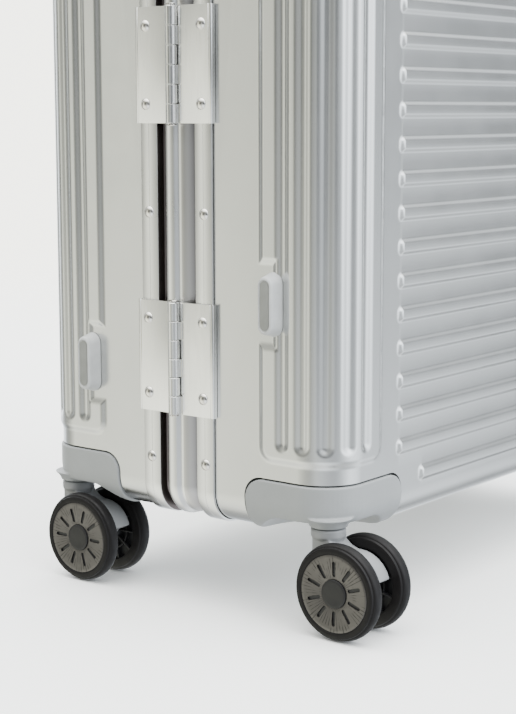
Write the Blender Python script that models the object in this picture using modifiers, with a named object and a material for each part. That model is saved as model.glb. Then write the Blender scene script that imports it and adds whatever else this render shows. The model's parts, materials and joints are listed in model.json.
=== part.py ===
"""Hard shell suitcase on four twin-wheel casters, hinged like a book along one narrow side.

Metres, +Z up. The case is modelled about its own seam: the plane where the two halves meet is y = 0,
the hinges are at -X, the latches and the side handle at +X. The front half is at -Y and the back half,
which holds the pull handle, is at +Y. An empty moves the whole case so that the part's origin is the
bottom centre of everything, with the casters trailing towards -Y.
"""
import math

import bmesh
import bpy
from mathutils import Matrix, Vector

OBJECT_NAME = "hard_shell_suitcase"
GAP = 0.0003                    # clearance between pieces that touch
NUDGE = 0.0001                  # keeps the faces of joined solids from lying in one plane
BEYOND = 0.01                   # how far a cutter runs past what it cuts

# Shell
HALF_WIDTH = 0.1825             # side planes, at +X and -X
HALF_DEPTH = 0.105              # wide faces, at +Y and -Y
SHELL_BOTTOM = 0.049
SHELL_TOP = 0.546
WALL = 0.0025
CORNER_RADIUS = 0.024           # upright corners
EDGE_RADIUS = 0.018             # bottom and top edges
EDGE_STEPS = 4                  # facets of those edges, on the shell and on the frame alike

# Level ribs raised on the wide faces
RIB_PITCH = 0.0181
RIB_HEIGHT = 0.0102
RIB_RISE = 0.0018
RIB_HALF_LENGTH = 0.1265
LOWEST_RIB_HALF_LENGTH = 0.104
LOWEST_RIB_Z = 0.0745
RIB_COUNT = 25

# Frame: its section is given as (outward from the side plane, distance from the seam)
SEAM_GAP = 0.001
RAIL_RISE = 0.0016
RAIL_INNER = 0.0134
RAIL_OUTER = 0.0252
RIM_START = 0.0145              # where the shell's edge begins, inside the frame's slot
SLOT_LIP = 0.0215               # end of the lip that holds the shell's edge from inside
LIP_THICKNESS = 0.0014
FRAME_DEPTH = 0.0095

# Hinges
HINGE_LOWEST = 0.1392
HINGE_PITCH = 0.1584
HINGE_HALF_HEIGHT = 0.031
BARREL_RISE = 0.0045            # hinge axis, outward from the side plane
BARREL_RADIUS = 0.0033
PIN_RADIUS = 0.0013
PIN_HEAD_RADIUS = 0.0026
PIN_HEAD_HEIGHT = 0.0010
LEAF_BOTTOM = RAIL_RISE + GAP
LEAF_TOP = 0.0034
LEAF_FLANGE = 0.0270
KNUCKLES = 6

# Latches
LATCH_HEIGHTS = {"lower": 0.178, "upper": 0.417}
LATCH_HALF_HEIGHT = 0.028
LATCH_PIVOT_RISE = 0.0079
LATCH_PIVOT_Y = 0.0225
LATCH_BARREL_RADIUS = 0.0026
LATCH_PIN_RADIUS = 0.0016
LATCH_PLATE = (-0.0120, 0.0040, 0.0027)     # from, to and thickness, about the pivot
LATCH_EAR_WIDTH = 0.0038
LATCH_EAR_HALF_DEPTH = 0.0033
LEVER_REACH = 0.0400            # from the pivot to the lever's free edge
KEEPER = (0.0045, 0.0215, 0.0215, 0.0030)   # from, to, half height and thickness

# Casters
WHEEL_RADIUS = 0.026
WHEEL_SIDES = 24
WHEEL_INNER = 0.0085            # from the caster's middle plane to a wheel's inner face
WHEEL_WIDTH = 0.010
TRAIL = 0.0163
STEM_INSET = 0.013              # from both outer planes of the shell
STEM_RADIUS = 0.005
FORK_TOP = 0.0557
FORK_RADIUS = 0.010
FENDER_RADIUS = 0.0187
FENDER_THICKNESS = 0.0058
HUB_RADIUS = 0.0065
WEB_HALF_WIDTH = 0.0079
AXLE_RADIUS = 0.0025
COVER_THICKNESS = 0.0015
TREAD_SHOULDER = 0.0021

# Corner guards, which carry the casters
GUARD_RISE = 0.0014
GUARD_TOP = 0.0785
GUARD_END_X = 0.1205
GUARD_END_Y = 0.0465
GUARD_LOBE_RADIUS = 0.011
WELL_TOP = 0.0588
WELL_RADII = (0.050, 0.028)     # at the foot of the dish and at its top
STEM_TOP = 0.0700
COLLAR_RADIUS = 0.0105
COLLAR_BOTTOM = 0.056

# Rest feet on the hinge side, staggered so that they pass each other when the case lies open
FOOT_RISE = 0.0084
FOOT_Y = 0.0655
FOOT_HALF_WIDTH = 0.0061
FOOT_HALF_HEIGHT = 0.017
FOOT_HEIGHTS = {"front": (0.1731, 0.4643), "back": (0.1308, 0.4220)}
FOOT_TAPER = (0.78, 0.90)       # how much narrower and shorter the outer face is

# Pull handle
TUBE_X = 0.075
TUBE_Y = 0.0835
TUBE_BORE = (0.0083, 0.0038)    # half sizes of the outer tube's bore
OUTER_TUBE = (0.0105, 0.0055)
INNER_TUBE = (0.0080, 0.0035)
INNER_TUBE_BORE = (0.0066, 0.0021)
OUTER_TUBE_BOTTOM = 0.062
INNER_TUBE_BOTTOM = 0.075
BEZEL_BOTTOM = 0.514
BEZEL_TOP = 0.5485
BEZEL_FLOOR = 0.5235
BEZEL_HALF_LENGTH = 0.098
BEZEL_HALF_DEPTH = 0.0135
BEZEL_WALL = (0.0045, 0.0035)
GRIP_HALF_LENGTH = 0.092
GRIP_HALF_DEPTH = 0.009
GRIP_BOTTOM = 0.526
GRIP_TOP = 0.552
GRIP_FINGER_HALF_LENGTH = 0.062
GRIP_FINGER_RISE = 0.008
GRIP_SOCKET_DEPTH = 0.012
BUTTON_HALF = (0.016, 0.005)
BUTTON_RISE = 0.0013
BUTTON_DEPTH = 0.0042
BUTTON_POCKET_DEPTH = 0.008

# Carry handles, in their own frame: pivot axis along X, folded flat towards +Y, outward is +Z
BAIL_PIVOT_Y = 0.031            # from the seam
BAIL_PIVOT_RISE = 0.0055
BAIL_LEG_X = 0.058
BAIL_REACH = 0.029
BAIL_HALF_THICKNESS = 0.0033
BAIL_BAR_HALF_DEPTH = 0.0065
BAIL_LEG_HALF_WIDTH = 0.0045
BAIL_PIN_RADIUS = 0.0021
BAIL_PIN_REACH = 0.0135         # from the middle of a leg
BRACKET_WIDTH = 0.0140
BRACKET_DEPTH = (-0.0048, 0.0090)           # about the pivot
BRACKET_RISE = 0.0095
SIDE_HANDLE_Z = 0.2975

# The whole case's reach on each side, which sets where the origin lies
REACH_LEFT = HALF_WIDTH + FOOT_RISE
REACH_RIGHT = HALF_WIDTH + LATCH_PIVOT_RISE + LATCH_BARREL_RADIUS
REACH_FRONT = HALF_DEPTH - STEM_INSET + TRAIL + WHEEL_RADIUS
REACH_BACK = HALF_DEPTH + RIB_RISE
CASE_SHIFT = Vector(((REACH_LEFT - REACH_RIGHT) / 2, (REACH_FRONT - REACH_BACK) / 2, 0))

MIDDLE_Z = (SHELL_BOTTOM + SHELL_TOP) / 2
HINGE_AXIS = Vector((-(HALF_WIDTH + BARREL_RISE), 0, MIDDLE_Z))

COLOURS = {
    # name: (colour, metallic, roughness)
    "shell": ((0.60, 0.62, 0.60), 0.0, 0.38),
    "frame": ((0.72, 0.73, 0.72), 1.0, 0.32),
    "hinge": ((0.70, 0.71, 0.70), 1.0, 0.30),
    "steel": ((0.62, 0.62, 0.62), 1.0, 0.22),
    "guard": ((0.44, 0.46, 0.46), 0.0, 0.50),
    "fork": ((0.58, 0.60, 0.60), 0.0, 0.45),
    "tyre": ((0.035, 0.033, 0.035), 0.0, 0.60),
    "rubber": ((0.05, 0.05, 0.05), 0.0, 0.70),
    "foot": ((0.42, 0.42, 0.40), 0.0, 0.60),
    "plastic": ((0.10, 0.10, 0.10), 0.0, 0.45),
    "lining": ((0.16, 0.17, 0.18), 0.0, 0.90),
}


def clear_scene():
    for old in list(bpy.data.objects):
        bpy.data.objects.remove(old, do_unlink=True)


def make_collection():
    collection = bpy.data.collections.new(OBJECT_NAME)
    bpy.context.scene.collection.children.link(collection)
    return collection


def make_material(name, kind):
    colour, metallic, roughness = COLOURS[kind]
    material = bpy.data.materials.new(name)
    material.use_nodes = True
    shader = material.node_tree.nodes["Principled BSDF"]
    shader.inputs["Base Color"].default_value = (*colour, 1)
    shader.inputs["Metallic"].default_value = metallic
    shader.inputs["Roughness"].default_value = roughness
    material.diffuse_color = (*colour, 1)
    return material


# Solids ------------------------------------------------------------------------------------------

def object_from(bm, name="solid"):
    mesh = bpy.data.meshes.new(name)
    bm.to_mesh(mesh)
    bm.free()
    solid = bpy.data.objects.new(name, mesh)
    bpy.context.scene.collection.objects.link(solid)
    return solid


def box(low, high, bevel=0.0, segments=2):
    """A box between two corners, with all its edges rounded if bevel is given."""
    low, high = Vector(low), Vector(high)
    bm = bmesh.new()
    bmesh.ops.create_cube(bm, size=1)
    bmesh.ops.scale(bm, vec=high - low, verts=bm.verts)
    bmesh.ops.translate(bm, vec=(low + high) / 2, verts=bm.verts)
    if bevel:
        bmesh.ops.bevel(bm, geom=bm.edges[:], offset=bevel, segments=segments, affect="EDGES", profile=0.5)
    return object_from(bm)


def rod(axis, low, high, radius, centre=(0, 0, 0), sides=24, end_radius=None):
    """A cylinder, or a cone if end_radius is given, along X, Y or Z from low to high."""
    turn = {"X": Matrix.Rotation(math.pi / 2, 4, "Y"), "Y": Matrix.Rotation(-math.pi / 2, 4, "X"),
            "Z": Matrix.Identity(4)}[axis]
    bm = bmesh.new()
    bmesh.ops.create_cone(bm, cap_ends=True, segments=sides, radius1=radius,
                          radius2=radius if end_radius is None else end_radius, depth=high - low)
    bmesh.ops.rotate(bm, cent=(0, 0, 0), matrix=Matrix.Rotation(math.pi / sides, 3, "Z"), verts=bm.verts)
    bmesh.ops.transform(bm, matrix=turn, verts=bm.verts)
    middle = Vector(centre)
    middle["XYZ".index(axis)] = (low + high) / 2
    bmesh.ops.translate(bm, vec=middle, verts=bm.verts)
    return object_from(bm)


def evaluated_mesh(source):
    bpy.context.view_layer.update()
    return bpy.data.meshes.new_from_object(source.evaluated_get(bpy.context.evaluated_depsgraph_get()))


def combine(target, operation, *operands):
    """Applies one Boolean after another to target and removes the operands."""
    for operand in operands:
        modifier = target.modifiers.new("combine", "BOOLEAN")
        modifier.operation = operation
        modifier.solver = "EXACT"
        modifier.object = operand
        result = evaluated_mesh(target)
        target.modifiers.clear()
        target.data = result
        bpy.data.objects.remove(operand, do_unlink=True)
    return target


def union(target, *operands):
    return combine(target, "UNION", *operands)


def cut(target, *operands):
    return combine(target, "DIFFERENCE", *operands)


def common(target, *operands):
    return combine(target, "INTERSECT", *operands)


def mirrored(source, x=1, y=1):
    """A copy of a solid, mirrored in X or Y where the sign is -1."""
    bm = bmesh.new()
    bm.from_mesh(source.data)
    bmesh.ops.transform(bm, matrix=Matrix.Diagonal((x, y, 1, 1)), verts=bm.verts)
    if x * y < 0:
        bmesh.ops.reverse_faces(bm, faces=bm.faces)
    return object_from(bm)


def mesh_of_curve(curve_object):
    """Turns a curve object into a closed mesh object in the same place."""
    mesh = evaluated_mesh(curve_object)
    bm = bmesh.new()
    bm.from_mesh(mesh)
    bmesh.ops.remove_doubles(bm, verts=bm.verts, dist=0.00001)
    bmesh.ops.recalc_face_normals(bm, faces=bm.faces)
    bm.transform(curve_object.matrix_world)
    bpy.data.objects.remove(curve_object, do_unlink=True)
    return object_from(bm)


def flat_outline(points, half_thickness, matrix):
    """A flat closed outline thickened to both sides, then placed by a matrix."""
    curve = bpy.data.curves.new("outline", "CURVE")
    curve.dimensions = "2D"
    curve.fill_mode = "BOTH"
    curve.extrude = half_thickness
    spline = curve.splines.new("POLY")
    spline.points.add(len(points) - 1)
    for point, (x, y) in zip(spline.points, points):
        point.co = (x, y, 0, 1)
    spline.use_cyclic_u = True
    outline = bpy.data.objects.new("outline", curve)
    bpy.context.scene.collection.objects.link(outline)
    outline.matrix_world = matrix
    return mesh_of_curve(outline)


def arc(centre, radius, start, end, steps):
    """Points along a circle; angles in degrees."""
    angles = [math.radians(start + (end - start) * i / steps) for i in range(steps + 1)]
    return [(centre[0] + radius * math.cos(a), centre[1] + radius * math.sin(a)) for a in angles]


# Placing -----------------------------------------------------------------------------------------

def make_axis(name, position, parent=None, rotation=(0, 0, 0)):
    """An empty on a joint's axis; its place in the case's own frame is kept with it."""
    empty = bpy.data.objects.new(name, None)
    empty.empty_display_size = 0.02
    PARTS.objects.link(empty)
    position = Vector(position)
    origin = Vector(parent["position"]) if parent else Vector((0, 0, 0))
    empty.parent = parent
    empty.location = position - origin
    empty.rotation_euler = rotation
    empty["position"] = position
    return empty


def place(solid, name, kind, parent, at=None, rotation=(0, 0, 0), smooth_angle=35):
    """Names a solid, gives it its material and hangs it on an empty.

    at is where the solid's own origin goes in the parent's frame. Left out, the solid was modelled
    in the case's frame and stays where it is.
    """
    for collection in list(solid.users_collection):
        collection.objects.unlink(solid)
    PARTS.objects.link(solid)
    solid.name = name
    solid.data.name = name
    solid.parent = parent
    solid.location = -Vector(parent["position"]) if at is None else Vector(at)
    solid.rotation_euler = rotation
    solid.data.materials.clear()
    solid.data.materials.append(make_material(name, kind))
    solid.data.shade_smooth()
    solid.data.set_sharp_from_angle(angle=math.radians(smooth_angle))
    return solid


# Shells, linings and corner guards ---------------------------------------------------------------

def half_body(offset, start):
    """The front half's outer form, grown by offset, from its wide face to the plane y = -start."""
    bm = bmesh.new()
    bmesh.ops.create_cube(bm, size=1)
    front = -(HALF_DEPTH + offset)
    size = (2 * (HALF_WIDTH + offset), -start - front, SHELL_TOP - SHELL_BOTTOM + 2 * offset)
    bmesh.ops.scale(bm, vec=size, verts=bm.verts)
    bmesh.ops.translate(bm, vec=(0, (front - start) / 2, MIDDLE_Z), verts=bm.verts)

    def in_plane(edge, axis, value):
        return all(abs(v.co[axis] - value) < 1e-6 for v in edge.verts)

    def upright(edge):
        return abs(edge.verts[0].co.z - edge.verts[1].co.z) > 0.1

    corners = [e for e in bm.edges if upright(e) and in_plane(e, 1, front)]
    bmesh.ops.bevel(bm, geom=corners, offset=CORNER_RADIUS + offset, segments=5, affect="EDGES",
                    profile=0.5)
    low, high = SHELL_BOTTOM - offset, SHELL_TOP + offset
    rims = [e for e in bm.edges
            if (in_plane(e, 2, low) or in_plane(e, 2, high)) and not in_plane(e, 1, -start)]
    bmesh.ops.bevel(bm, geom=rims, offset=EDGE_RADIUS + offset, segments=EDGE_STEPS, affect="EDGES",
                    profile=0.5)
    return bm


def half_solid(offset, start):
    return object_from(half_body(offset, start))


def half_skin(offset, start, thickness):
    """The same form as a wall of the given thickness, open at the seam side."""
    bm = half_body(offset, start)
    seam_faces = [f for f in bm.faces if all(abs(v.co.y + start) < 1e-6 for v in f.verts)]
    bmesh.ops.delete(bm, geom=seam_faces, context="FACES_ONLY")
    skin = object_from(bm)
    solidify = skin.modifiers.new("wall", "SOLIDIFY")
    solidify.thickness = thickness
    solidify.offset = -1
    solidify.use_even_offset = True
    result = evaluated_mesh(skin)
    skin.modifiers.clear()
    skin.data = result
    return skin


def corner_block(grow):
    """The block that a corner guard fills at the front left corner, grown for clearance."""
    bm = bmesh.new()
    bmesh.ops.create_cube(bm, size=1)
    low = Vector((-HALF_WIDTH - BEYOND, -HALF_DEPTH - BEYOND, SHELL_BOTTOM - BEYOND))
    high = Vector((-GUARD_END_X + grow, -GUARD_END_Y + grow, GUARD_TOP + grow))
    bmesh.ops.scale(bm, vec=high - low, verts=bm.verts)
    bmesh.ops.translate(bm, vec=(low + high) / 2, verts=bm.verts)

    def at_top(edge):
        return all(abs(v.co.z - high.z) < 1e-6 for v in edge.verts)

    def at_inner_side(edge):
        return any(all(abs(v.co[i] - high[i]) < 1e-6 for v in edge.verts) for i in (0, 1))

    lobe_edges = [e for e in bm.edges if at_top(e) and at_inner_side(e)]
    bmesh.ops.bevel(bm, geom=lobe_edges, offset=GUARD_LOBE_RADIUS, segments=5, affect="EDGES",
                    profile=0.5)
    return object_from(bm)


def make_ribs():
    """The level ribs of a wide face, each rooted halfway into the wall."""
    ribs = []
    for i in range(RIB_COUNT):
        half_length = LOWEST_RIB_HALF_LENGTH if i == 0 else RIB_HALF_LENGTH
        z = LOWEST_RIB_Z + i * RIB_PITCH
        low = (-half_length, -HALF_DEPTH - RIB_RISE, z - RIB_HEIGHT / 2)
        high = (half_length, -HALF_DEPTH + WALL / 2, z + RIB_HEIGHT / 2)
        ribs.append(box(low, high))
    return ribs


def make_shell():
    shell = half_skin(0, RIM_START, WALL)
    union(shell, *make_ribs())
    left = corner_block(GAP)
    right = mirrored(left, x=-1)
    return cut(shell, left, right)


def make_lining():
    lining = half_skin(-WALL - 0.0005, RAIL_OUTER - 0.0025, 0.0008)
    left = corner_block(2 * GAP)
    right = mirrored(left, x=-1)
    return cut(lining, left, right)


def pull_handle_room(grow):
    """Blocks round the pull handle's tubes and bezel inside the back half, grown by a clearance."""
    blocks = []
    for x in (-TUBE_X, TUBE_X):
        low = (x - OUTER_TUBE[0] - grow, TUBE_Y - OUTER_TUBE[1] - grow, OUTER_TUBE_BOTTOM - grow)
        high = (x + OUTER_TUBE[0] + grow, HALF_DEPTH - WALL - 0.001, BEZEL_BOTTOM + 0.005)
        blocks.append((Vector(low), Vector(high)))
    low = (-BEZEL_HALF_LENGTH - grow, TUBE_Y - BEZEL_HALF_DEPTH - grow, BEZEL_BOTTOM - grow)
    high = (BEZEL_HALF_LENGTH + grow, HALF_DEPTH - WALL - 0.001, SHELL_TOP - WALL - 0.001)
    blocks.append((Vector(low), Vector(high)))
    return blocks


def make_back_lining():
    """The back lining also covers the pull handle's tubes and bezel, like boxed channels."""
    lining = make_lining()
    back = mirrored(lining, y=-1)
    bpy.data.objects.remove(lining, do_unlink=True)
    for low, high in pull_handle_room(0.0016):
        inside = half_solid(-WALL - 0.0008, 0)
        union(back, common(box(low, high), mirrored(inside, y=-1)))
        bpy.data.objects.remove(inside, do_unlink=True)
    past_wall = Vector((0, 0.01, 0))
    past_top = Vector((0, 0.01, 0.01))
    rooms = pull_handle_room(0.0006)
    cutters = [box(low, high + past_wall) for low, high in rooms[:2]]
    cutters.append(box(rooms[2][0], rooms[2][1] + past_top))
    return cut(back, *cutters)


def make_guard():
    """The front left guard: a block that fills the shell's corner, dished over the wheels."""
    stem = (-HALF_WIDTH + STEM_INSET, -HALF_DEPTH + STEM_INSET, 0)
    guard = common(half_solid(GUARD_RISE, RIM_START), corner_block(0))
    dish_rise = WELL_TOP - (SHELL_BOTTOM - 0.005)
    well = rod("Z", WELL_TOP - dish_rise, WELL_TOP, WELL_RADII[0], stem, 32, end_radius=WELL_RADII[1])
    cut(guard, well)
    union(guard, rod("Z", COLLAR_BOTTOM, WELL_TOP + 0.002, COLLAR_RADIUS, stem, 20))
    return cut(guard, rod("Z", COLLAR_BOTTOM - BEYOND, STEM_TOP + 0.0012, STEM_RADIUS + GAP, stem, 14))


# Frame -------------------------------------------------------------------------------------------

def sweep_ring(section):
    """Sweeps a closed section, given as (outward, along Y), round the case's outline.

    The path is drawn flat and the result is turned upright, so that outward stays outward.
    """
    half_height = (SHELL_TOP - SHELL_BOTTOM) / 2
    inner_x, inner_z = HALF_WIDTH - EDGE_RADIUS, half_height - EDGE_RADIUS
    path_points = []
    for quarter, (sx, sz) in enumerate(((1, 1), (-1, 1), (-1, -1), (1, -1))):
        start = 90 * quarter
        path_points += arc((sx * inner_x, sz * inner_z), EDGE_RADIUS, start, start + 90, EDGE_STEPS)
    profile = bpy.data.curves.new("profile", "CURVE")
    profile.dimensions = "2D"
    profile_spline = profile.splines.new("POLY")
    profile_spline.points.add(len(section) - 1)
    for point, (outward, along) in zip(profile_spline.points, section):
        point.co = (outward, -along, 0, 1)
    profile_spline.use_cyclic_u = True
    profile_object = bpy.data.objects.new("profile", profile)
    bpy.context.scene.collection.objects.link(profile_object)
    path = bpy.data.curves.new("path", "CURVE")
    path.dimensions = "3D"
    path.twist_mode = "Z_UP"
    path.bevel_mode = "OBJECT"
    path.bevel_object = profile_object
    spline = path.splines.new("POLY")
    spline.points.add(len(path_points) - 1)
    for point, (x, z) in zip(spline.points, path_points):
        point.co = (x, z, 0, 1)
    spline.use_cyclic_u = True
    ring = bpy.data.objects.new("path", path)
    bpy.context.scene.collection.objects.link(ring)
    ring.matrix_world = Matrix.Translation((0, 0, MIDDLE_Z)) @ Matrix.Rotation(math.pi / 2, 4, "X")
    solid = mesh_of_curve(ring)
    bpy.data.objects.remove(profile_object, do_unlink=True)
    return solid


def frame_section(seam_side, side):
    """The frame's section: the rail, the slot that holds the shell's edge, then the seam side."""
    slot_end = RIM_START - GAP
    inside = -WALL - GAP
    rail = [(RAIL_RISE, RAIL_INNER), (RAIL_RISE, RAIL_OUTER), (GAP, RAIL_OUTER), (GAP, slot_end),
            (inside, slot_end), (inside, SLOT_LIP), (inside - LIP_THICKNESS, SLOT_LIP),
            (inside - LIP_THICKNESS, slot_end), (-FRAME_DEPTH, slot_end), (-FRAME_DEPTH, SEAM_GAP)]
    return [(outward, side * distance) for outward, distance in rail + seam_side]


def make_front_frame():
    """A hollow channel slopes down from the seam to the rail."""
    channel = [(-0.0006, SEAM_GAP), (-0.0010, 0.0040), (-0.0026, 0.0085), (-0.0045, 0.0130)]
    return sweep_ring(frame_section(channel, -1))


def make_back_frame():
    """A round bead runs along the seam, with a slot between it and the rail."""
    bead = [(-0.0014, SEAM_GAP), (0.0000, 0.0028), (0.0004, 0.0050), (0.0000, 0.0072),
            (-0.0014, 0.0090), (-0.0045, 0.0092), (-0.0045, 0.0132)]
    return sweep_ring(frame_section(bead, 1))


def make_seal():
    half = SEAM_GAP - GAP
    return sweep_ring([(-0.0065, -half), (-0.0040, -half), (-0.0040, half), (-0.0065, half)])


# Hinges ------------------------------------------------------------------------------------------

def make_leaf(side):
    """A hinge leaf about the barrel's axis; side is -1 for the front half's leaf."""
    bottom, top = BARREL_RISE - LEAF_TOP, BARREL_RISE - LEAF_BOTTOM
    flange_bottom = BARREL_RISE - 2 * GAP
    height = HINGE_HALF_HEIGHT

    def slab(x_low, x_high, near, far, z_low, z_high):
        ys = sorted((side * near, side * far))
        return box((x_low, ys[0], z_low), (x_high, ys[1], z_high))

    leaf = slab(bottom, top, BARREL_RADIUS + 3 * GAP, LEAF_FLANGE, -height, height)
    union(leaf, slab(bottom + GAP, flange_bottom, RAIL_OUTER + GAP, LEAF_FLANGE - NUDGE,
                     NUDGE - height, height - NUDGE))
    step = 2 * height / KNUCKLES
    for i in range(0 if side < 0 else 1, KNUCKLES, 2):
        low = -height + i * step + GAP / 2
        high = low + step - GAP
        union(leaf, rod("Z", low, high, BARREL_RADIUS, sides=14))
        union(leaf, slab(bottom + NUDGE, top - NUDGE, BARREL_RADIUS * 0.4, BARREL_RADIUS + 0.002,
                         low + NUDGE, high - NUDGE))
    return cut(leaf, rod("Z", -height - BEYOND, height + BEYOND, PIN_RADIUS + GAP, sides=8))


def make_hinge_pin():
    near = HINGE_HALF_HEIGHT + GAP
    far = near + PIN_HEAD_HEIGHT
    pin = rod("Z", GAP - far, far - GAP, PIN_RADIUS, sides=10)
    union(pin, rod("Z", -far, -near, PIN_HEAD_RADIUS, sides=12))
    return union(pin, rod("Z", near, far, PIN_HEAD_RADIUS, sides=12))


# Latches -----------------------------------------------------------------------------------------

def make_latch_base():
    """The plate on the back rail with the lever's two ears, about the lever's pivot."""
    low = LEAF_BOTTOM - LATCH_PIVOT_RISE
    start, end, thickness = LATCH_PLATE
    height = LATCH_HALF_HEIGHT
    base = box((low, start, -height), (low + thickness, end, height))
    for z in (-height, height - LATCH_EAR_WIDTH):
        union(base, box((low + GAP, -LATCH_EAR_HALF_DEPTH, z + NUDGE),
                        (LATCH_BARREL_RADIUS - NUDGE, LATCH_EAR_HALF_DEPTH, z + LATCH_EAR_WIDTH - NUDGE)))
    return cut(base, rod("Z", -height - BEYOND, height + BEYOND, LATCH_PIN_RADIUS + GAP, sides=12))


def make_latch_lever():
    """The lever about its own pivot; it lies over the keeper on the front rail."""
    half = LATCH_HALF_HEIGHT - LATCH_EAR_WIDTH - GAP
    lever = rod("Z", -half, half, LATCH_BARREL_RADIUS, sides=16)
    low = (-0.0018, -LEVER_REACH, NUDGE - half)
    high = (0.0012, -0.0012, half - NUDGE)
    union(lever, box(low, high, 0.0008))
    pin_end = LATCH_HALF_HEIGHT - GAP
    return union(lever, rod("Z", -pin_end, pin_end, LATCH_PIN_RADIUS, sides=12))


def make_keeper(z):
    near, far, half_height, thickness = KEEPER
    low = HALF_WIDTH + LEAF_BOTTOM
    return box((low, -far, z - half_height), (low + thickness, -near, z + half_height), 0.0006)


# Carry handles -----------------------------------------------------------------------------------

def make_bail():
    """A carry handle's grip: a bar, two legs and two pivot pins, folded flat."""
    thick = BAIL_HALF_THICKNESS
    leg = BAIL_LEG_HALF_WIDTH
    half_bar = Vector((BAIL_LEG_X + leg + 0.0005, BAIL_BAR_HALF_DEPTH, thick))
    middle = Vector((0, BAIL_REACH, 0))
    bail = box(middle - half_bar, middle + half_bar, 0.0022)
    for side in (-1, 1):
        x = side * BAIL_LEG_X
        union(bail, box((x - leg, -0.0040, GAP - thick), (x + leg, BAIL_REACH, thick - GAP)))
        ends = sorted((x, x + side * BAIL_PIN_REACH))
        union(bail, rod("X", ends[0], ends[1], BAIL_PIN_RADIUS, sides=12))
    return bail


def make_bracket(side):
    """A block that holds one pivot pin of a carry handle."""
    near = side * (BAIL_LEG_X + BAIL_LEG_HALF_WIDTH + GAP)
    ends = sorted((near, near + side * BRACKET_WIDTH))
    low = (ends[0], BRACKET_DEPTH[0], GAP - BAIL_PIVOT_RISE)
    high = (ends[1], BRACKET_DEPTH[1], BRACKET_RISE - BAIL_PIVOT_RISE)
    pocket = sorted((near - side * BEYOND, side * (BAIL_LEG_X + BAIL_PIN_REACH + GAP)))
    return cut(box(low, high, 0.0015), rod("X", pocket[0], pocket[1], BAIL_PIN_RADIUS + GAP, sides=12))


# Pull handle -------------------------------------------------------------------------------------

def column(half, z_low, z_high, x=0.0):
    return box((x - half[0], TUBE_Y - half[1], z_low), (x + half[0], TUBE_Y + half[1], z_high))


def make_bezel():
    """The housing in the shell's top that the grip sinks into."""
    outer = (BEZEL_HALF_LENGTH, BEZEL_HALF_DEPTH)
    inner = (BEZEL_HALF_LENGTH - BEZEL_WALL[0], BEZEL_HALF_DEPTH - BEZEL_WALL[1])
    bezel = column(outer, BEZEL_BOTTOM, BEZEL_TOP)
    cut(bezel, column(inner, BEZEL_FLOOR, BEZEL_TOP + BEYOND))
    for x in (-TUBE_X, TUBE_X):
        cut(bezel, column(TUBE_BORE, BEZEL_BOTTOM - BEYOND, BEZEL_TOP, x))
    return bezel


def make_outer_tube(x):
    tube = column(OUTER_TUBE, OUTER_TUBE_BOTTOM, BEZEL_BOTTOM - GAP, x)
    return cut(tube, column(TUBE_BORE, OUTER_TUBE_BOTTOM - BEYOND, BEZEL_BOTTOM + BEYOND, x))


def make_inner_tube(x):
    tube = column(INNER_TUBE, INNER_TUBE_BOTTOM, GRIP_BOTTOM + GRIP_SOCKET_DEPTH, x)
    return cut(tube, column(INNER_TUBE_BORE, INNER_TUBE_BOTTOM - BEYOND, GRIP_TOP, x))


def make_pull_grip():
    """The grip: a bar with two deeper ends that take the tubes, and a pocket for the button."""
    size = (GRIP_HALF_LENGTH, GRIP_HALF_DEPTH)
    low = (-size[0], TUBE_Y - size[1], GRIP_BOTTOM)
    high = (size[0], TUBE_Y + size[1], GRIP_TOP)
    grip = box(low, high, 0.0035)
    fingers = (GRIP_FINGER_HALF_LENGTH, GRIP_HALF_DEPTH + BEYOND)
    cut(grip, column(fingers, GRIP_BOTTOM - BEYOND, GRIP_BOTTOM + GRIP_FINGER_RISE))
    socket = (INNER_TUBE[0] + GAP, INNER_TUBE[1] + GAP)
    for x in (-TUBE_X, TUBE_X):
        cut(grip, column(socket, GRIP_BOTTOM - BEYOND, GRIP_BOTTOM + GRIP_SOCKET_DEPTH + GAP, x))
    pocket = (BUTTON_HALF[0] + GAP, BUTTON_HALF[1] + GAP)
    return cut(grip, column(pocket, GRIP_TOP - BUTTON_POCKET_DEPTH, GRIP_TOP + BEYOND))


def make_button():
    low = (-BUTTON_HALF[0], TUBE_Y - BUTTON_HALF[1], GRIP_TOP - BUTTON_DEPTH)
    high = (BUTTON_HALF[0], TUBE_Y + BUTTON_HALF[1], GRIP_TOP + BUTTON_RISE)
    return box(low, high, 0.001)


# Casters -----------------------------------------------------------------------------------------

def make_fork():
    """The caster's fork about its swivel axis: stem, head, and a web between the wheels.

    The web's outline is drawn with its x pointing back along the trail, which is -Y.
    """
    axle = (TRAIL, WHEEL_RADIUS)
    fender_end = 18
    side, top, low = FORK_RADIUS - 0.001, 0.052, 0.036
    outline = arc(axle, FENDER_RADIUS, fender_end, 112, 7)
    outline += [(side, top), (-side, top), (-side, low)]
    outline += arc(axle, HUB_RADIUS, 215, 330, 5)
    outline += arc(axle, FENDER_RADIUS - FENDER_THICKNESS, fender_end, fender_end + 2, 1)[:1]
    turn = Matrix(((0, 0, 1, 0), (-1, 0, 0, 0), (0, 1, 0, 0), (0, 0, 0, 1)))
    web = flat_outline(outline, WEB_HALF_WIDTH, turn)
    fork = rod("Z", 0.034, FORK_TOP, FORK_RADIUS, sides=20)
    union(fork, web, rod("Z", FORK_TOP - 0.001, STEM_TOP, STEM_RADIUS, sides=14))
    clearance = WHEEL_RADIUS + 0.0008
    for side in (-1, 1):
        ends = sorted((side * (WEB_HALF_WIDTH + GAP), side * 0.03))
        cut(fork, rod("X", ends[0], ends[1], clearance, (0, -TRAIL, WHEEL_RADIUS), 32))
    return cut(fork, rod("X", -0.02, 0.02, AXLE_RADIUS + GAP, (0, -TRAIL, WHEEL_RADIUS), 16))


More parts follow.
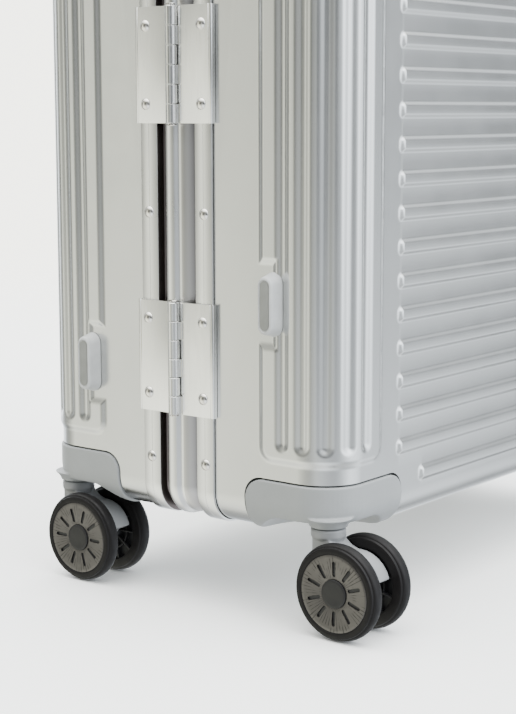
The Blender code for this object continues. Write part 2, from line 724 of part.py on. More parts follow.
def make_axle():
    half = WHEEL_INNER + WHEEL_WIDTH - COVER_THICKNESS - GAP
    return rod("Z", -half, half, AXLE_RADIUS, sides=12)


def make_wheel():
    """Tyre and hub as one turned solid about Z, from its inner face at z = 0 to its hub cover."""
    true_radius = WHEEL_RADIUS / math.cos(math.pi / WHEEL_SIDES)
    bore = AXLE_RADIUS + GAP
    side_radius = true_radius - TREAD_SHOULDER
    bore_end = WHEEL_WIDTH - COVER_THICKNESS
    profile = [(0, WHEEL_WIDTH), (side_radius, WHEEL_WIDTH), (true_radius, WHEEL_WIDTH - TREAD_SHOULDER),
               (true_radius, TREAD_SHOULDER), (side_radius, 0), (bore, 0), (bore, bore_end), (0, bore_end)]
    bm = bmesh.new()
    points = [bm.verts.new((r, 0, z)) for r, z in profile]
    for a, b in zip(points, points[1:]):
        bm.edges.new((a, b))
    wheel = object_from(bm)
    screw = wheel.modifiers.new("turn", "SCREW")
    screw.axis = "Z"
    screw.angle = 2 * math.pi
    screw.steps = WHEEL_SIDES
    screw.render_steps = WHEEL_SIDES
    screw.use_merge_vertices = True
    screw.merge_threshold = 0.00001
    result = evaluated_mesh(wheel)
    wheel.modifiers.clear()
    wheel.data = result
    result.transform(Matrix.Rotation(math.pi / WHEEL_SIDES, 4, "Z"))
    return wheel


def make_foot():
    """A rest foot: a stadium outline that narrows a little towards its outer face."""
    straight = FOOT_HALF_HEIGHT - FOOT_HALF_WIDTH
    outline = arc((0, straight), FOOT_HALF_WIDTH, 0, 180, 8)
    outline += arc((0, -straight), FOOT_HALF_WIDTH, 180, 360, 8)
    half_rise = (FOOT_RISE - GAP) / 2
    middle = -(HALF_WIDTH + GAP + half_rise)
    turn = Matrix(((0, 0, 1, middle), (1, 0, 0, 0), (0, 1, 0, 0), (0, 0, 0, 1)))
    foot = flat_outline(outline, half_rise, turn)
    for vertex in foot.data.vertices:
        if vertex.co.x < middle:
            vertex.co.y *= FOOT_TAPER[0]
            vertex.co.z *= FOOT_TAPER[1]
    return foot


# Assembly ----------------------------------------------------------------------------------------

def build_shells(root, lid):
    front = make_shell()
    back = mirrored(front, y=-1)
    room = (BEZEL_HALF_LENGTH + GAP, BEZEL_HALF_DEPTH + GAP)
    cut(back, column(room, BEZEL_BOTTOM, SHELL_TOP + 0.02))
    place(front, "shell_front", "shell", lid)
    place(back, "shell_back", "shell", root)
    place(make_lining(), "lining_front", "lining", lid)
    place(make_back_lining(), "lining_back", "lining", root)
    place(make_front_frame(), "frame_front", "frame", lid)
    place(make_back_frame(), "frame_back", "frame", root)
    place(make_seal(), "frame_seal", "rubber", root)


def build_hinges(root, lid):
    for i, level in enumerate(("lower", "middle", "upper")):
        at = Vector((HINGE_AXIS.x, 0, HINGE_LOWEST + i * HINGE_PITCH))
        place(make_leaf(-1), f"hinge_{level}_front_leaf", "hinge", lid, at - HINGE_AXIS)
        place(make_leaf(1), f"hinge_{level}_back_leaf", "hinge", root, at)
        place(make_hinge_pin(), f"hinge_{level}_pin", "steel", root, at)


def build_latches(root, lid):
    for level, z in LATCH_HEIGHTS.items():
        pivot = Vector((HALF_WIDTH + LATCH_PIVOT_RISE, LATCH_PIVOT_Y, z))
        place(make_latch_base(), f"latch_{level}_base", "steel", root, pivot)
        place(make_keeper(z), f"latch_{level}_keeper", "steel", lid)
        axis = make_axis(f"latch_{level}_axis", pivot, root)
        place(make_latch_lever(), f"latch_{level}_lever", "hinge", axis, (0, 0, 0))


def build_carry_handle(root, name, pivot, rotation, ends):
    """A bail and its two brackets, built in the handle's own frame and turned into place."""
    mount = make_axis(f"{name}_mount", pivot, root, rotation)
    for side, end in zip((-1, 1), ends):
        place(make_bracket(side), f"{name}_bracket_{end}", "guard", mount, (0, 0, 0))
    place(make_bail(), f"{name}_grip", "guard", mount, (0, 0, 0))


def build_pull_handle(root):
    place(make_bezel(), "pull_handle_bezel", "guard", root)
    slider = make_axis("pull_handle_slide", (0, TUBE_Y, GRIP_TOP), root)
    for side, x in (("left", -TUBE_X), ("right", TUBE_X)):
        place(make_outer_tube(x), f"pull_handle_outer_tube_{side}", "frame", root)
        place(make_inner_tube(x), f"pull_handle_inner_tube_{side}", "steel", slider)
    place(make_pull_grip(), "pull_handle_grip", "guard", slider)
    place(make_button(), "pull_handle_button", "plastic", slider)


def build_casters(root, lid):
    guard = make_guard()
    wheel_turn = {"left": (0, -math.pi / 2, 0), "right": (0, math.pi / 2, 0)}
    for half, carrier, sy in (("front", lid, -1), ("back", root, 1)):
        for side, sx in (("left", -1), ("right", 1)):
            corner = f"{half}_{side}"
            place(mirrored(guard, -sx, -sy), f"corner_guard_{corner}", "guard", carrier)
            stem = Vector((sx * (HALF_WIDTH - STEM_INSET), sy * (HALF_DEPTH - STEM_INSET), 0))
            swivel = make_axis(f"caster_{corner}_swivel", stem, carrier)
            place(make_fork(), f"caster_{corner}_fork", "fork", swivel, (0, 0, 0))
            centre = stem + Vector((0, -TRAIL, WHEEL_RADIUS))
            spin = make_axis(f"caster_{corner}_spin", centre, swivel)
            place(make_axle(), f"caster_{corner}_axle", "steel", spin, (0, 0, 0), (0, math.pi / 2, 0))
            for end, ex in (("left", -1), ("right", 1)):
                place(make_wheel(), f"caster_{corner}_wheel_{end}", "tyre", spin,
                      (ex * WHEEL_INNER, 0, 0), wheel_turn[end])
    bpy.data.objects.remove(guard, do_unlink=True)


def build_feet(root, lid):
    for half, carrier, sy in (("front", lid, -1), ("back", root, 1)):
        for level, z in zip(("lower", "upper"), FOOT_HEIGHTS[half]):
            at = Vector((0, sy * FOOT_Y, z))
            place(make_foot(), f"rest_foot_{half}_{level}", "foot", carrier, at - Vector(carrier["position"]))


def build():
    root = make_axis("case_root", (0, 0, 0))
    root.location = CASE_SHIFT
    lid = make_axis("lid_hinge_axis", HINGE_AXIS, root)
    build_shells(root, lid)
    build_hinges(root, lid)
    build_latches(root, lid)
    top = (0, BAIL_PIVOT_Y, SHELL_TOP + BAIL_PIVOT_RISE)
    build_carry_handle(root, "top_handle", top, (0, 0, 0), ("left", "right"))
    side = (HALF_WIDTH + BAIL_PIVOT_RISE, BAIL_PIVOT_Y, SIDE_HANDLE_Z)
    build_carry_handle(root, "side_handle", side, (0, math.pi / 2, 0), ("upper", "lower"))
    build_pull_handle(root)
    build_casters(root, lid)
    build_feet(root, lid)


clear_scene()
PARTS = make_collection()
build()
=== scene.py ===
"""The looks of the hard shell suitcase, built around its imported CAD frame.

Metres, +Z up. Pieces are modelled about the case's own seam, as the CAD is: y = 0 is where the halves
meet, the hinges are at -X, the front half is at -Y. CASE carries them into the row frame at the end.
"""
import json
import math

import bmesh
import bpy
from mathutils import Matrix, Vector


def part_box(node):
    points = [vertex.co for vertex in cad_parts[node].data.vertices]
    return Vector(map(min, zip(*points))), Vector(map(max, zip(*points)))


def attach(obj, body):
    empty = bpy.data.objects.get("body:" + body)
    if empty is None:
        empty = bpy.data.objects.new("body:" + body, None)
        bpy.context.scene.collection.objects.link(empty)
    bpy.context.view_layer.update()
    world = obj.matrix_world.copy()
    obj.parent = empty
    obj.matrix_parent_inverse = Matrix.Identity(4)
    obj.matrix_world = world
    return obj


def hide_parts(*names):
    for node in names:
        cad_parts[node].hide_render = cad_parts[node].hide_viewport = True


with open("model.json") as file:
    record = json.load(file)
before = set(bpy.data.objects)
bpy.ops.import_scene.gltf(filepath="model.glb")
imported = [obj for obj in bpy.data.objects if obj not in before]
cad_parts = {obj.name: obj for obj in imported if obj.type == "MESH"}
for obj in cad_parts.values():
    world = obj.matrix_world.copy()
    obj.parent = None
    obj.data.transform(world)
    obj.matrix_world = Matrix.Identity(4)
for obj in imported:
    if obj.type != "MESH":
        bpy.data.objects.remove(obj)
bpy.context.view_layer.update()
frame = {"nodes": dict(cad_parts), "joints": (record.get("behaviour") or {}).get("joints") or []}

# --- Driving sizes, read from the frame
SHELL_LOW, SHELL_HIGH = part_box("shell_front")
SEAL_LOW, SEAL_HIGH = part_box("frame_seal")
CASE = Vector(((SHELL_LOW.x + SHELL_HIGH.x) / 2, (SEAL_LOW.y + SEAL_HIGH.y) / 2, 0))
RIB_RISE = 0.0018
HALF_WIDTH = (SHELL_HIGH.x - SHELL_LOW.x) / 2
HALF_DEPTH = CASE.y - SHELL_LOW.y - RIB_RISE
BOTTOM, TOP = SHELL_LOW.z, SHELL_HIGH.z
MIDDLE_Z = (BOTTOM + TOP) / 2

WALL = 0.0025
CORNER_RADIUS = 0.024
EDGE_RADIUS = 0.018
RIM_START = 0.0145
CORNER_ARC = CORNER_RADIUS * math.pi / 2
SIDE_LENGTH = HALF_DEPTH - CORNER_RADIUS - RIM_START
WALL_LOW, WALL_HIGH = BOTTOM + EDGE_RADIUS, TOP - EDGE_RADIUS
EDGE_LEVELS = 9                  # steps across the shells' rounded edges
TO_MIDDLE = CORNER_ARC + HALF_WIDTH - CORNER_RADIUS   # s at the middle of a wide face

# Level ribs of the wide faces
RIB_PITCH = 0.0181
RIB_HALF_HEIGHT = 0.0051
RIB_HALF_LENGTH = 0.1265
LOWEST_RIB_HALF_LENGTH = 0.104
LOWEST_RIB_Z = 0.0745
RIB_COUNT = 25
RIB_FLANK = 0.0034
RIB_END = 0.0045                 # a rib rises over this length from its ends

# Fluted panel round each upright corner; s runs along the outline from the corner arc's start
PANEL_RISE = 0.0014
PANEL_MIDDLE = 0.0156
PANEL_HALF_LENGTH = 0.0414
PANEL_LOW = 0.0877
PANEL_HIGH = BOTTOM + TOP - PANEL_LOW
PANEL_CORNER = 0.0090
PANEL_FLANK = 0.0046
FLUTE_PITCH = 0.0124
FLUTE_HALF_WIDTH = 0.0052
FLUTE_DEPTH = 0.0015
FLUTE_LOW = 0.0945
NOTCH_HALF_HEIGHT = 0.0225       # the panel stops this far above and below a rest foot
NOTCH_REACH = 0.0118             # how much of the panel's edge is left out beside a foot

# Frame
SEAM_GAP = 0.001
SEAM_LIP = 0.0003                # the frames' outer lips nearly meet
RAIL_RISE = 0.0016
RAIL_INNER, RAIL_OUTER = 0.0134, 0.0252
RIVET_Y = 0.0196
LEAF_TOP = 0.0034

# Casters
WHEEL_RADIUS = 0.026
TYRE_WIDTH = 0.010
SPOKES = 10                      # slots in a hub cover and ribs behind it
SPIN = {"front_left": 0, "front_right": 11, "back_left": 18, "back_right": 25}   # degrees, so no two match
HINGES = ("lower", "middle", "upper")
CORNERS = [("front_left", -1, -1), ("front_right", 1, -1), ("back_left", -1, 1), ("back_right", 1, 1)]
HALVES = (("front", "front_half", -1), ("back", "back_half", 1))

# Studio
BACKDROP = (0.98, 0.98, 0.9, 1)
BACKDROP_STRENGTH = 4.45
COOL, WARM = (0.94, 1.0, 1.06), (1.02, 1.03, 0.88)
# Brightness of the surround at even steps of yaw from -180 degrees, where 0 is +Y and 90 is +X
TONES_ABOVE = (5.6, 1.4, 0.4, 0.3, 0.5, 0.5, 1.6, 1.4, 1.7, 1.6, 0.3, 3.0)
TONES_LEVEL = (2.2, 0.7, 0.05, 0.05, 0.1, 0.7, 0.2, 0.1, 0.6, 2.1, 0.2, 0.1,
               0.9, 4.4, 4.2, 4.0, 4.6, 4.6, 3.6, 0.2, 0.15, 2.0, 3.2, 3.7)
TONES_BELOW = (0.8, 1.7, 2.5, 1.4, 2.5, 2.3, 0.2, 0.3, 1.9, 0.3, 2.5, 1.2)
ZENITH = (8.6, 8.7, 8.6)
NADIR = (1.4, 1.42, 1.4)
FLOOR_COLOUR = (1.22, 1.22, 1.20, 1)

# Turns and names used in many places
AROUND_X = Matrix.Rotation(math.pi / 2, 4, "Y")   # carries +Z to +X
UPPER_LOWER = ("lower", "upper")
SIDES = ("left", "right")


def in_case(node):
    """A CAD node's box in the case's own frame."""
    low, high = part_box(node)
    return low - CASE, high - CASE


def centre_of(node):
    low, high = in_case(node)
    return (low + high) / 2


def pivot_of(joint_name):
    """Where a joint turns, in the case's own frame."""
    joint = next(j for j in frame["joints"] if j["name"] == joint_name)
    return Vector(joint["pos_m"]) - CASE


# --- Materials

class Look:
    """A small helper that wires one Principled material from procedural nodes."""

    def __init__(self, name, colour, metallic=0.0, roughness=0.5, **sockets):
        self.material = bpy.data.materials.new(name)
        self.material.use_nodes = True
        self.tree = self.material.node_tree
        self.shader = self.tree.nodes["Principled BSDF"]
        self.colour = (*colour, 1)
        self.shader.inputs["Base Color"].default_value = self.colour
        self.shader.inputs["Metallic"].default_value = metallic
        self.shader.inputs["Roughness"].default_value = roughness
        for socket, value in sockets.items():
            self.shader.inputs[socket.replace("_", " ")].default_value = value
        self.material.diffuse_color = self.colour
        self.coordinates = self.tree.nodes.new("ShaderNodeTexCoord").outputs["Object"]
        self.bumped = None

    def node(self, kind, **settings):
        made = self.tree.nodes.new(kind)
        for key, value in settings.items():
            setattr(made, key, value)
        return made

    def link(self, source, target):
        self.tree.links.new(source, target)
        return self

    def scaled(self, scale):
        mapping = self.node("ShaderNodeMapping")
        mapping.inputs["Scale"].default_value = scale
        self.link(self.coordinates, mapping.inputs["Vector"])
        return mapping.outputs["Vector"]

    def noise(self, scale, detail=2.0, roughness=0.5, stretch=(1, 1, 1)):
        made = self.node("ShaderNodeTexNoise")
        made.inputs["Scale"].default_value = scale
        made.inputs["Detail"].default_value = detail
        made.inputs["Roughness"].default_value = roughness
        self.link(self.scaled(stretch), made.inputs["Vector"])
        return made.outputs["Fac"]

    def ramp(self, source, low, high):
        made = self.node("ShaderNodeMapRange")
        made.inputs["From Min"].default_value = 0.3
        made.inputs["From Max"].default_value = 0.7
        made.inputs["To Min"].default_value = low
        made.inputs["To Max"].default_value = high
        self.link(source, made.inputs["Value"])
        return made.outputs["Result"]

    def vary_roughness(self, source, low, high):
        return self.link(self.ramp(source, low, high), self.shader.inputs["Roughness"])

    def vary_colour(self, source, other, amount=1.0):
        """Mixes the base colour towards another where source is high."""
        mix = self.node("ShaderNodeMix", data_type="RGBA")
        mix.inputs[6].default_value = self.colour
        mix.inputs[7].default_value = (*other, 1)
        self.link(self.ramp(source, 0.0, amount), mix.inputs[0])
        return self.link(mix.outputs[2], self.shader.inputs["Base Color"])

    def bump(self, source, height, strength=1.0):
        """Adds a bump on top of those already there; height is in metres."""
        made = self.node("ShaderNodeBump")
        made.inputs["Strength"].default_value = strength
        made.inputs["Distance"].default_value = height
        self.link(source, made.inputs["Height"])
        if self.bumped:
            self.link(self.bumped, made.inputs["Normal"])
        self.bumped = made.outputs["Normal"]
        return self.link(self.bumped, self.shader.inputs["Normal"])


def shell_look():
    """Satin silver finish with a fine flake and a little handling wear in its gloss."""
    look = Look("satin_silver_shell", (0.64, 0.648, 0.64), 0.88, 0.235)
    look.vary_colour(look.noise(9.0, 3.0), (0.67, 0.674, 0.662), 1.0)
    look.vary_roughness(look.noise(40.0, 4.0, 0.6), 0.22, 0.26)
    look.bump(look.noise(2600.0, 1.0), 0.000004, 0.3)
    return look.material


def extrusion_look():
    """Anodised aluminium with fine lines along the extrusion, which runs round the seam."""
    look = Look("anodised_extrusion", (0.90, 0.903, 0.89), 1.0, 0.26)
    lines = look.noise(1.0, 3.0, 0.7, (2, 3200, 2))
    look.vary_colour(lines, (0.84, 0.845, 0.835), 0.8)
    look.vary_roughness(look.noise(30.0, 3.0), 0.25, 0.33)
    look.bump(lines, 0.000006, 0.5)
    return look.material


def painted_shade_groove_look():
    """Extrusion metal in the recess beside the seam, coloured with painted shade: darker than the rails, and
    darker still towards them, where the recess is deepest.
    """
    look = Look("groove_painted_shade", (0.62, 0.61, 0.60), 1.0, 0.38)
    split = look.node("ShaderNodeSeparateXYZ")
    look.link(look.coordinates, split.inputs[0])
    offset = look.node("ShaderNodeMath", operation="SUBTRACT")
    offset.inputs[1].default_value = CASE.y
    look.link(split.outputs["Y"], offset.inputs[0])
    away = look.node("ShaderNodeMath", operation="ABSOLUTE")
    look.link(offset.outputs[0], away.inputs[0])
    painted_shade_share = look.node("ShaderNodeMapRange")
    painted_shade_share.inputs["From Min"].default_value = 0.0035
    painted_shade_share.inputs["From Max"].default_value = 0.0131
    painted_shade_share.inputs["To Min"].default_value = 0.3
    painted_shade_share.inputs["To Max"].default_value = 0.7
    look.link(away.outputs[0], painted_shade_share.inputs["Value"])
    # painted shade: mixes towards dark brown with distance from the seam, darkest at the rails
    look.vary_colour(painted_shade_share.outputs["Result"], (0.15, 0.13, 0.125), 1.0)
    look.vary_roughness(look.noise(30.0, 3.0), 0.30, 0.38)
    return look.material


def hinge_look():
    look = Look("satin_hinge_metal", (0.93, 0.93, 0.91), 1.0, 0.26)
    grain = look.noise(1.0, 3.0, 0.6, (900, 900, 60))
    look.vary_roughness(grain, 0.20, 0.28)
    look.vary_colour(look.noise(60.0, 2.0), (0.89, 0.89, 0.875), 0.7)
    look.bump(grain, 0.000004, 0.4)
    return look.material


def polished_look():
    look = Look("polished_nickel", (0.83, 0.80, 0.75), 1.0, 0.05)
    look.vary_roughness(look.noise(300.0, 3.0), 0.05, 0.11)
    look.vary_colour(look.noise(200.0, 2.0), (0.79, 0.765, 0.72), 0.6)
    return look.material


def tube_look():
    look = Look("anodised_tube", (0.70, 0.705, 0.70), 1.0, 0.26)
    lines = look.noise(1.0, 2.0, 0.6, (2400, 2400, 3))
    look.vary_roughness(lines, 0.22, 0.32)
    look.vary_colour(lines, (0.64, 0.645, 0.64), 0.6)
    look.bump(lines, 0.000005, 0.4)
    return look.material


def moulded_look(name, colour, roughness=0.45, lighter=1.12, grain=1800.0, depth=0.00002):
    """Moulded plastic: fine spark-eroded grain, faint flow mottling."""
    look = Look(name, colour, 0.0, roughness)
    other = tuple(min(1.0, c * lighter) for c in colour)
    look.vary_colour(look.noise(70.0, 4.0, 0.6), other, 0.6)
    look.vary_roughness(look.noise(150.0, 3.0), roughness - 0.05, roughness + 0.08)
    look.bump(look.noise(grain, 2.0), depth, 0.45)
    return look.material


def tyre_look():
    look = Look("polyurethane_tread", (0.0088, 0.0080, 0.0082), 0.0, 0.50, Specular_IOR_Level=0.18)
    look.vary_colour(look.noise(90.0, 5.0, 0.65), (0.0125, 0.0115, 0.0115), 0.8)
    look.vary_roughness(look.noise(200.0, 3.0), 0.38, 0.58)
    look.bump(look.noise(900.0, 3.0), 0.00003, 0.4)
    return look.material


def cover_look():
    """Warm grey metallic hub cover, lightly engraved with fans of fine radial lines."""
    look = Look("hub_cover_metallic", (0.104, 0.098, 0.094), 0.75, 0.36)
    split = look.node("ShaderNodeSeparateXYZ")
    look.link(look.coordinates, split.inputs["Vector"])
    turn = look.node("ShaderNodeMath", operation="ARCTAN2")
    look.link(split.outputs["Y"], turn.inputs[0]).link(split.outputs["X"], turn.inputs[1])
    wave = look.node("ShaderNodeMath", operation="MULTIPLY")
    wave.inputs[1].default_value = 60.0
    look.link(turn.outputs[0], wave.inputs[0])
    ripple = look.node("ShaderNodeMath", operation="SINE")
    look.link(wave.outputs[0], ripple.inputs[0])
    sharp = look.node("ShaderNodeMapRange")
    for socket, value in (("From Min", 0.72), ("From Max", 1.0)):
        sharp.inputs[socket].default_value = value
    look.link(ripple.outputs[0], sharp.inputs["Value"])
    patch = look.node("ShaderNodeMapRange")
    for socket, value in (("From Min", 0.42), ("From Max", 0.62)):
        patch.inputs[socket].default_value = value
    look.link(look.noise(260.0, 1.0), patch.inputs["Value"])
    lines = look.node("ShaderNodeMath", operation="MULTIPLY")
    look.link(sharp.outputs["Result"], lines.inputs[0]).link(patch.outputs["Result"], lines.inputs[1])
    mix = look.node("ShaderNodeMix", data_type="RGBA")
    mix.inputs[6].default_value = look.colour
    mix.inputs[7].default_value = (0.03, 0.028, 0.025, 1)
    look.link(lines.outputs[0], mix.inputs[0]).link(mix.outputs[2], look.shader.inputs["Base Color"])
    look.vary_roughness(look.noise(500.0, 2.0), 0.30, 0.42)
    look.bump(lines.outputs[0], 0.00012, 0.8)
    return look.material


def fabric_look():
    """Woven polyester lining."""
    look = Look("woven_lining", (0.075, 0.08, 0.085), 0.0, 0.85, Sheen_Weight=0.35, Sheen_Roughness=0.4)
    threads = []
    for direction in ("X", "Z"):
        weave = look.node("ShaderNodeTexWave", wave_type="BANDS", bands_direction=direction)
        weave.inputs["Scale"].default_value = 420.0
        weave.inputs["Distortion"].default_value = 0.6
        look.link(look.coordinates, weave.inputs["Vector"])
        threads.append(weave.outputs["Fac"])
    cross = look.node("ShaderNodeMath", operation="MULTIPLY")
    look.link(threads[0], cross.inputs[0]).link(threads[1], cross.inputs[1])
    mix = look.node("ShaderNodeMix", data_type="RGBA")
    mix.inputs[6].default_value = look.colour
    mix.inputs[7].default_value = (0.15, 0.155, 0.165, 1)
    look.link(cross.outputs[0], mix.inputs[0]).link(mix.outputs[2], look.shader.inputs["Base Color"])
    look.bump(look.noise(22.0, 3.0), 0.0012, 0.5)
    look.bump(cross.outputs[0], 0.00015, 0.6)
    return look.material


def rubber_look(name, colour, roughness=0.6):
    look = Look(name, colour, 0.0, roughness)
    look.vary_colour(look.noise(120.0, 4.0), tuple(c * 1.25 + 0.004 for c in colour), 0.7)
    look.vary_roughness(look.noise(260.0, 3.0), roughness - 0.06, roughness + 0.08)
    look.bump(look.noise(1400.0, 2.0), 0.00002, 0.4)
    return look.material


SHELL_PAINT = shell_look()
EXTRUSION = extrusion_look()
# painted shade for the recesses beside the seam
GROOVE_PAINTED_SHADE = painted_shade_groove_look()
HINGE_METAL = hinge_look()
POLISHED = polished_look()
TUBE_METAL = tube_look()
GUARD_PLASTIC = moulded_look("guard_plastic", (0.345, 0.355, 0.355), 0.42)
HANDLE_PLASTIC = moulded_look("handle_plastic", (0.30, 0.31, 0.312), 0.42)
FORK_PLASTIC = moulded_look("caster_plastic", (0.29, 0.295, 0.30), 0.38)
BUTTON_PLASTIC = moulded_look("button_plastic", (0.035, 0.036, 0.038), 0.40, 1.5)
CAP_PLASTIC = moulded_look("wheel_cap_plastic", (0.0060, 0.0057, 0.0062), 0.55, 1.5)
TYRE = tyre_look()
COVER = cover_look()
LINING = fabric_look()
SEAL = rubber_look("seal_rubber", (0.02, 0.02, 0.02), 0.6)
FOOT = rubber_look("foot_rubber", (0.57, 0.575, 0.57), 0.42)
FOOT_PAD = rubber_look("foot_pad_rubber", (0.25, 0.253, 0.237), 0.5)
HUB_BLACK = moulded_look("hub_inner_plastic", (0.012, 0.012, 0.013), 0.5, 1.8)


# --- Mesh tools

def finish_piece(mesh, name, body, material, stands_for=(), angle=35, place=None):
    """Names a mesh, shades it, gives it its finish and hangs it on its CAD body.

    Without place, the mesh was modelled in the case's frame; with it, about the piece's own centre.
    """
    if place is None:
        mesh.transform(Matrix.Translation(CASE))
    mesh.name = name
    piece = bpy.data.objects.new(name, mesh)
    bpy.context.scene.collection.objects.link(piece)
    if place is not None:
        piece.matrix_world = Matrix.Translation(CASE) @ place
    mesh.materials.clear()
    for each in material if isinstance(material, (list, tuple)) else [material]:
        mesh.materials.append(each)
    mesh.shade_smooth()
    mesh.set_sharp_from_angle(angle=math.radians(angle))
    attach(piece, body)
    if stands_for:
        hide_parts(*stands_for)
    return piece


def mesh_from(bm, weld=0.0):
    if weld:
        bmesh.ops.remove_doubles(bm, verts=bm.verts, dist=weld)
    bmesh.ops.recalc_face_normals(bm, faces=bm.faces)
    mesh = bpy.data.meshes.new("mesh")
    bm.to_mesh(mesh)
    bm.free()
    return mesh


def joined(meshes):
    """One mesh from several; the parts stay separate bodies."""
    bm = bmesh.new()
    for mesh in meshes:
        bm.from_mesh(mesh)
    made = bpy.data.meshes.new("joined")
    bm.to_mesh(made)
    bm.free()
    return made


def moved(mesh, matrix, flip=False):
    """A copy of a mesh under a matrix; flip turns its faces after a mirroring."""
    bm = bmesh.new()
    bm.from_mesh(mesh)
    bm.transform(matrix)
    if flip:
        bmesh.ops.reverse_faces(bm, faces=bm.faces)
    made = bpy.data.meshes.new("moved")
    bm.to_mesh(made)
    bm.free()
    return made


def mirrored(mesh, x=1, y=1):
    return moved(mesh, Matrix.Diagonal((x, y, 1, 1)), x * y < 0)


def with_modifier(mesh, kind, operand=None, **settings):
    """The mesh after one modifier."""
    holder = bpy.data.objects.new("holder", mesh)
    bpy.context.scene.collection.objects.link(holder)
    modifier = holder.modifiers.new("step", kind)
    other = None
    if operand is not None:
        other = bpy.data.objects.new("operand", operand)
        bpy.context.scene.collection.objects.link(other)
        modifier.object = other
    for key, value in settings.items():
        setattr(modifier, key, value)
    bpy.context.view_layer.update()
    result = bpy.data.meshes.new_from_object(holder.evaluated_get(bpy.context.evaluated_depsgraph_get()))
    for used in (holder, other):
        if used:
            bpy.data.objects.remove(used, do_unlink=True)
    return result


def cut(mesh, *tools):
    for tool in tools:
        mesh = with_modifier(mesh, "BOOLEAN", tool, operation="DIFFERENCE", solver="EXACT")
    return mesh


def common(mesh, tool):
    return with_modifier(mesh, "BOOLEAN", tool, operation="INTERSECT", solver="EXACT")


def moulded(mesh, voxel, smoothing=4):
    """Fuses overlapping bodies into one skin and softens its edges, as moulding does."""
    mesh = with_modifier(mesh, "REMESH", mode="VOXEL", voxel_size=voxel, use_smooth_shade=True)
    return with_modifier(mesh, "SMOOTH", factor=0.5, iterations=smoothing)


def grid(bm, rows, closed=False):
    """Quads between rows of points; closed joins each row's end to its start."""
    verts = [[bm.verts.new(p) for p in row] for row in rows]
    for a, b in zip(verts, verts[1:]):
        count = len(a)
        for i in range(count if closed else count - 1):
            j = (i + 1) % count
            bm.faces.new((a[i], a[j], b[j], b[i]))
    return verts


def loft(rings, caps=True):
    """A closed body through rings of points."""
    bm = bmesh.new()
    verts = grid(bm, rings, closed=True)
    if caps:
        bm.faces.new(verts[0])
        bm.faces.new(list(reversed(verts[-1])))
    return mesh_from(bm)


def ring_loft(rings):
    """Rings joined end to end, last to first, such as a section swept round a closed path."""
    bm = bmesh.new()
    verts = grid(bm, rings, closed=True)
    for i in range(len(verts[0])):
        j = (i + 1) % len(verts[0])
        bm.faces.new((verts[-1][i], verts[-1][j], verts[0][j], verts[0][i]))
    return mesh_from(bm)


def lathe(profile, sides=48):
    """A body turned about Z from (radius, height) points; radius 0 at an end closes it."""
    bm = bmesh.new()
    rows = []
    for radius, height in profile:
        turns = [2 * math.pi * i / sides for i in range(sides)]
        rows.append([(radius * math.cos(a), radius * math.sin(a), height) for a in turns])
    grid(bm, rows, closed=True)
    return mesh_from(bm, weld=1e-7)


def rod(radius, low, high, sides=24):
    """A plain round body about Z, for cutting holes and for pins."""
    return lathe([(0, low), (radius, low), (radius, high), (0, high)], sides)


def box_between(low, high):
    low, high = Vector(low), Vector(high)
    bm = bmesh.new()
    bmesh.ops.create_cube(bm, size=1)
    bmesh.ops.scale(bm, vec=high - low, verts=bm.verts)
    bmesh.ops.translate(bm, vec=(low + high) / 2, verts=bm.verts)
    return bm


def bevelled(bm, edges, offset, segments):
    bmesh.ops.bevel(bm, geom=edges, offset=offset, segments=segments, affect="EDGES", profile=0.5)
    return mesh_from(bm)


def block(low, high, bevel, segments=3):
    """A box with round edges."""
    bm = box_between(low, high)
    return bevelled(bm, bm.edges[:], bevel, segments)


def arc(centre, radius, start, end, steps):
    angles = [math.radians(start + (end - start) * i / steps) for i in range(steps + 1)]
    return [(centre[0] + radius * math.cos(a), centre[1] + radius * math.sin(a)) for a in angles]


def rounded_rectangle(half_width, half_height, radius, steps=8):
    """Points round a rectangle with round corners, anticlockwise from the +x +y corner."""
    points = []
    for quarter, (sx, sy) in enumerate(((1, 1), (-1, 1), (-1, -1), (1, -1))):
        centre = (sx * (half_width - radius), sy * (half_height - radius))
        points += arc(centre, radius, 90 * quarter, 90 * quarter + 90, steps)
    return points


def extruded(outline, low, high):
    """A flat outline in X and Y made a body between two heights."""
    return loft([[(x, y, z) for x, y in outline] for z in (low, high)])


def smooth_step(t):
    t = min(1.0, max(0.0, t))
    return t * t * (3 - 2 * t)


def spaced(start, end, step):
    count = max(1, round((end - start) / step))
    return [start + (end - start) * i / count for i in range(count + 1)]


# --- Shells


def level(tilt, wall, upper=False):
    """Inset and height of the rounded edge where the surface has turned by tilt from flat to upright."""
    reach = EDGE_RADIUS - wall
    height = EDGE_RADIUS - reach * math.cos(tilt)
    return EDGE_RADIUS - reach * math.sin(tilt), TOP - height if upper else BOTTOM + height


def edge_levels(wall, count=EDGE_LEVELS, upper=False):
    tilts = [math.pi / 2 * i / count for i in range(count + 1)]
    levels = [level(t, wall, upper) for t in tilts]
    return list(reversed(levels)) if upper else levels


def outline_point(s, inset):
    """Point and outward direction on the front half's outline at its hinge side corner."""
    if s < 0:
        return (-HALF_WIDTH + inset, -(HALF_DEPTH - CORNER_RADIUS) - s), (-1.0, 0.0)
    if s < CORNER_ARC:
        a = s / CORNER_RADIUS
        out = (-math.cos(a), -math.sin(a))
        radius = CORNER_RADIUS - inset
        return (-HALF_WIDTH + CORNER_RADIUS + radius * out[0],
                -HALF_DEPTH + CORNER_RADIUS + radius * out[1]), out
    return (-HALF_WIDTH + CORNER_RADIUS + s - CORNER_ARC, -HALF_DEPTH + inset), (0.0, -1.0)


def inside_box(x, z, half_x, low, high, corner):
    """Distance inside a rectangle with round corners; negative outside it."""
    dx = abs(x) - (half_x - corner)
    dz = abs(z - (low + high) / 2) - ((high - low) / 2 - corner)
    outside = math.hypot(max(dx, 0), max(dz, 0))
    return corner - outside - min(max(dx, dz), 0.0)


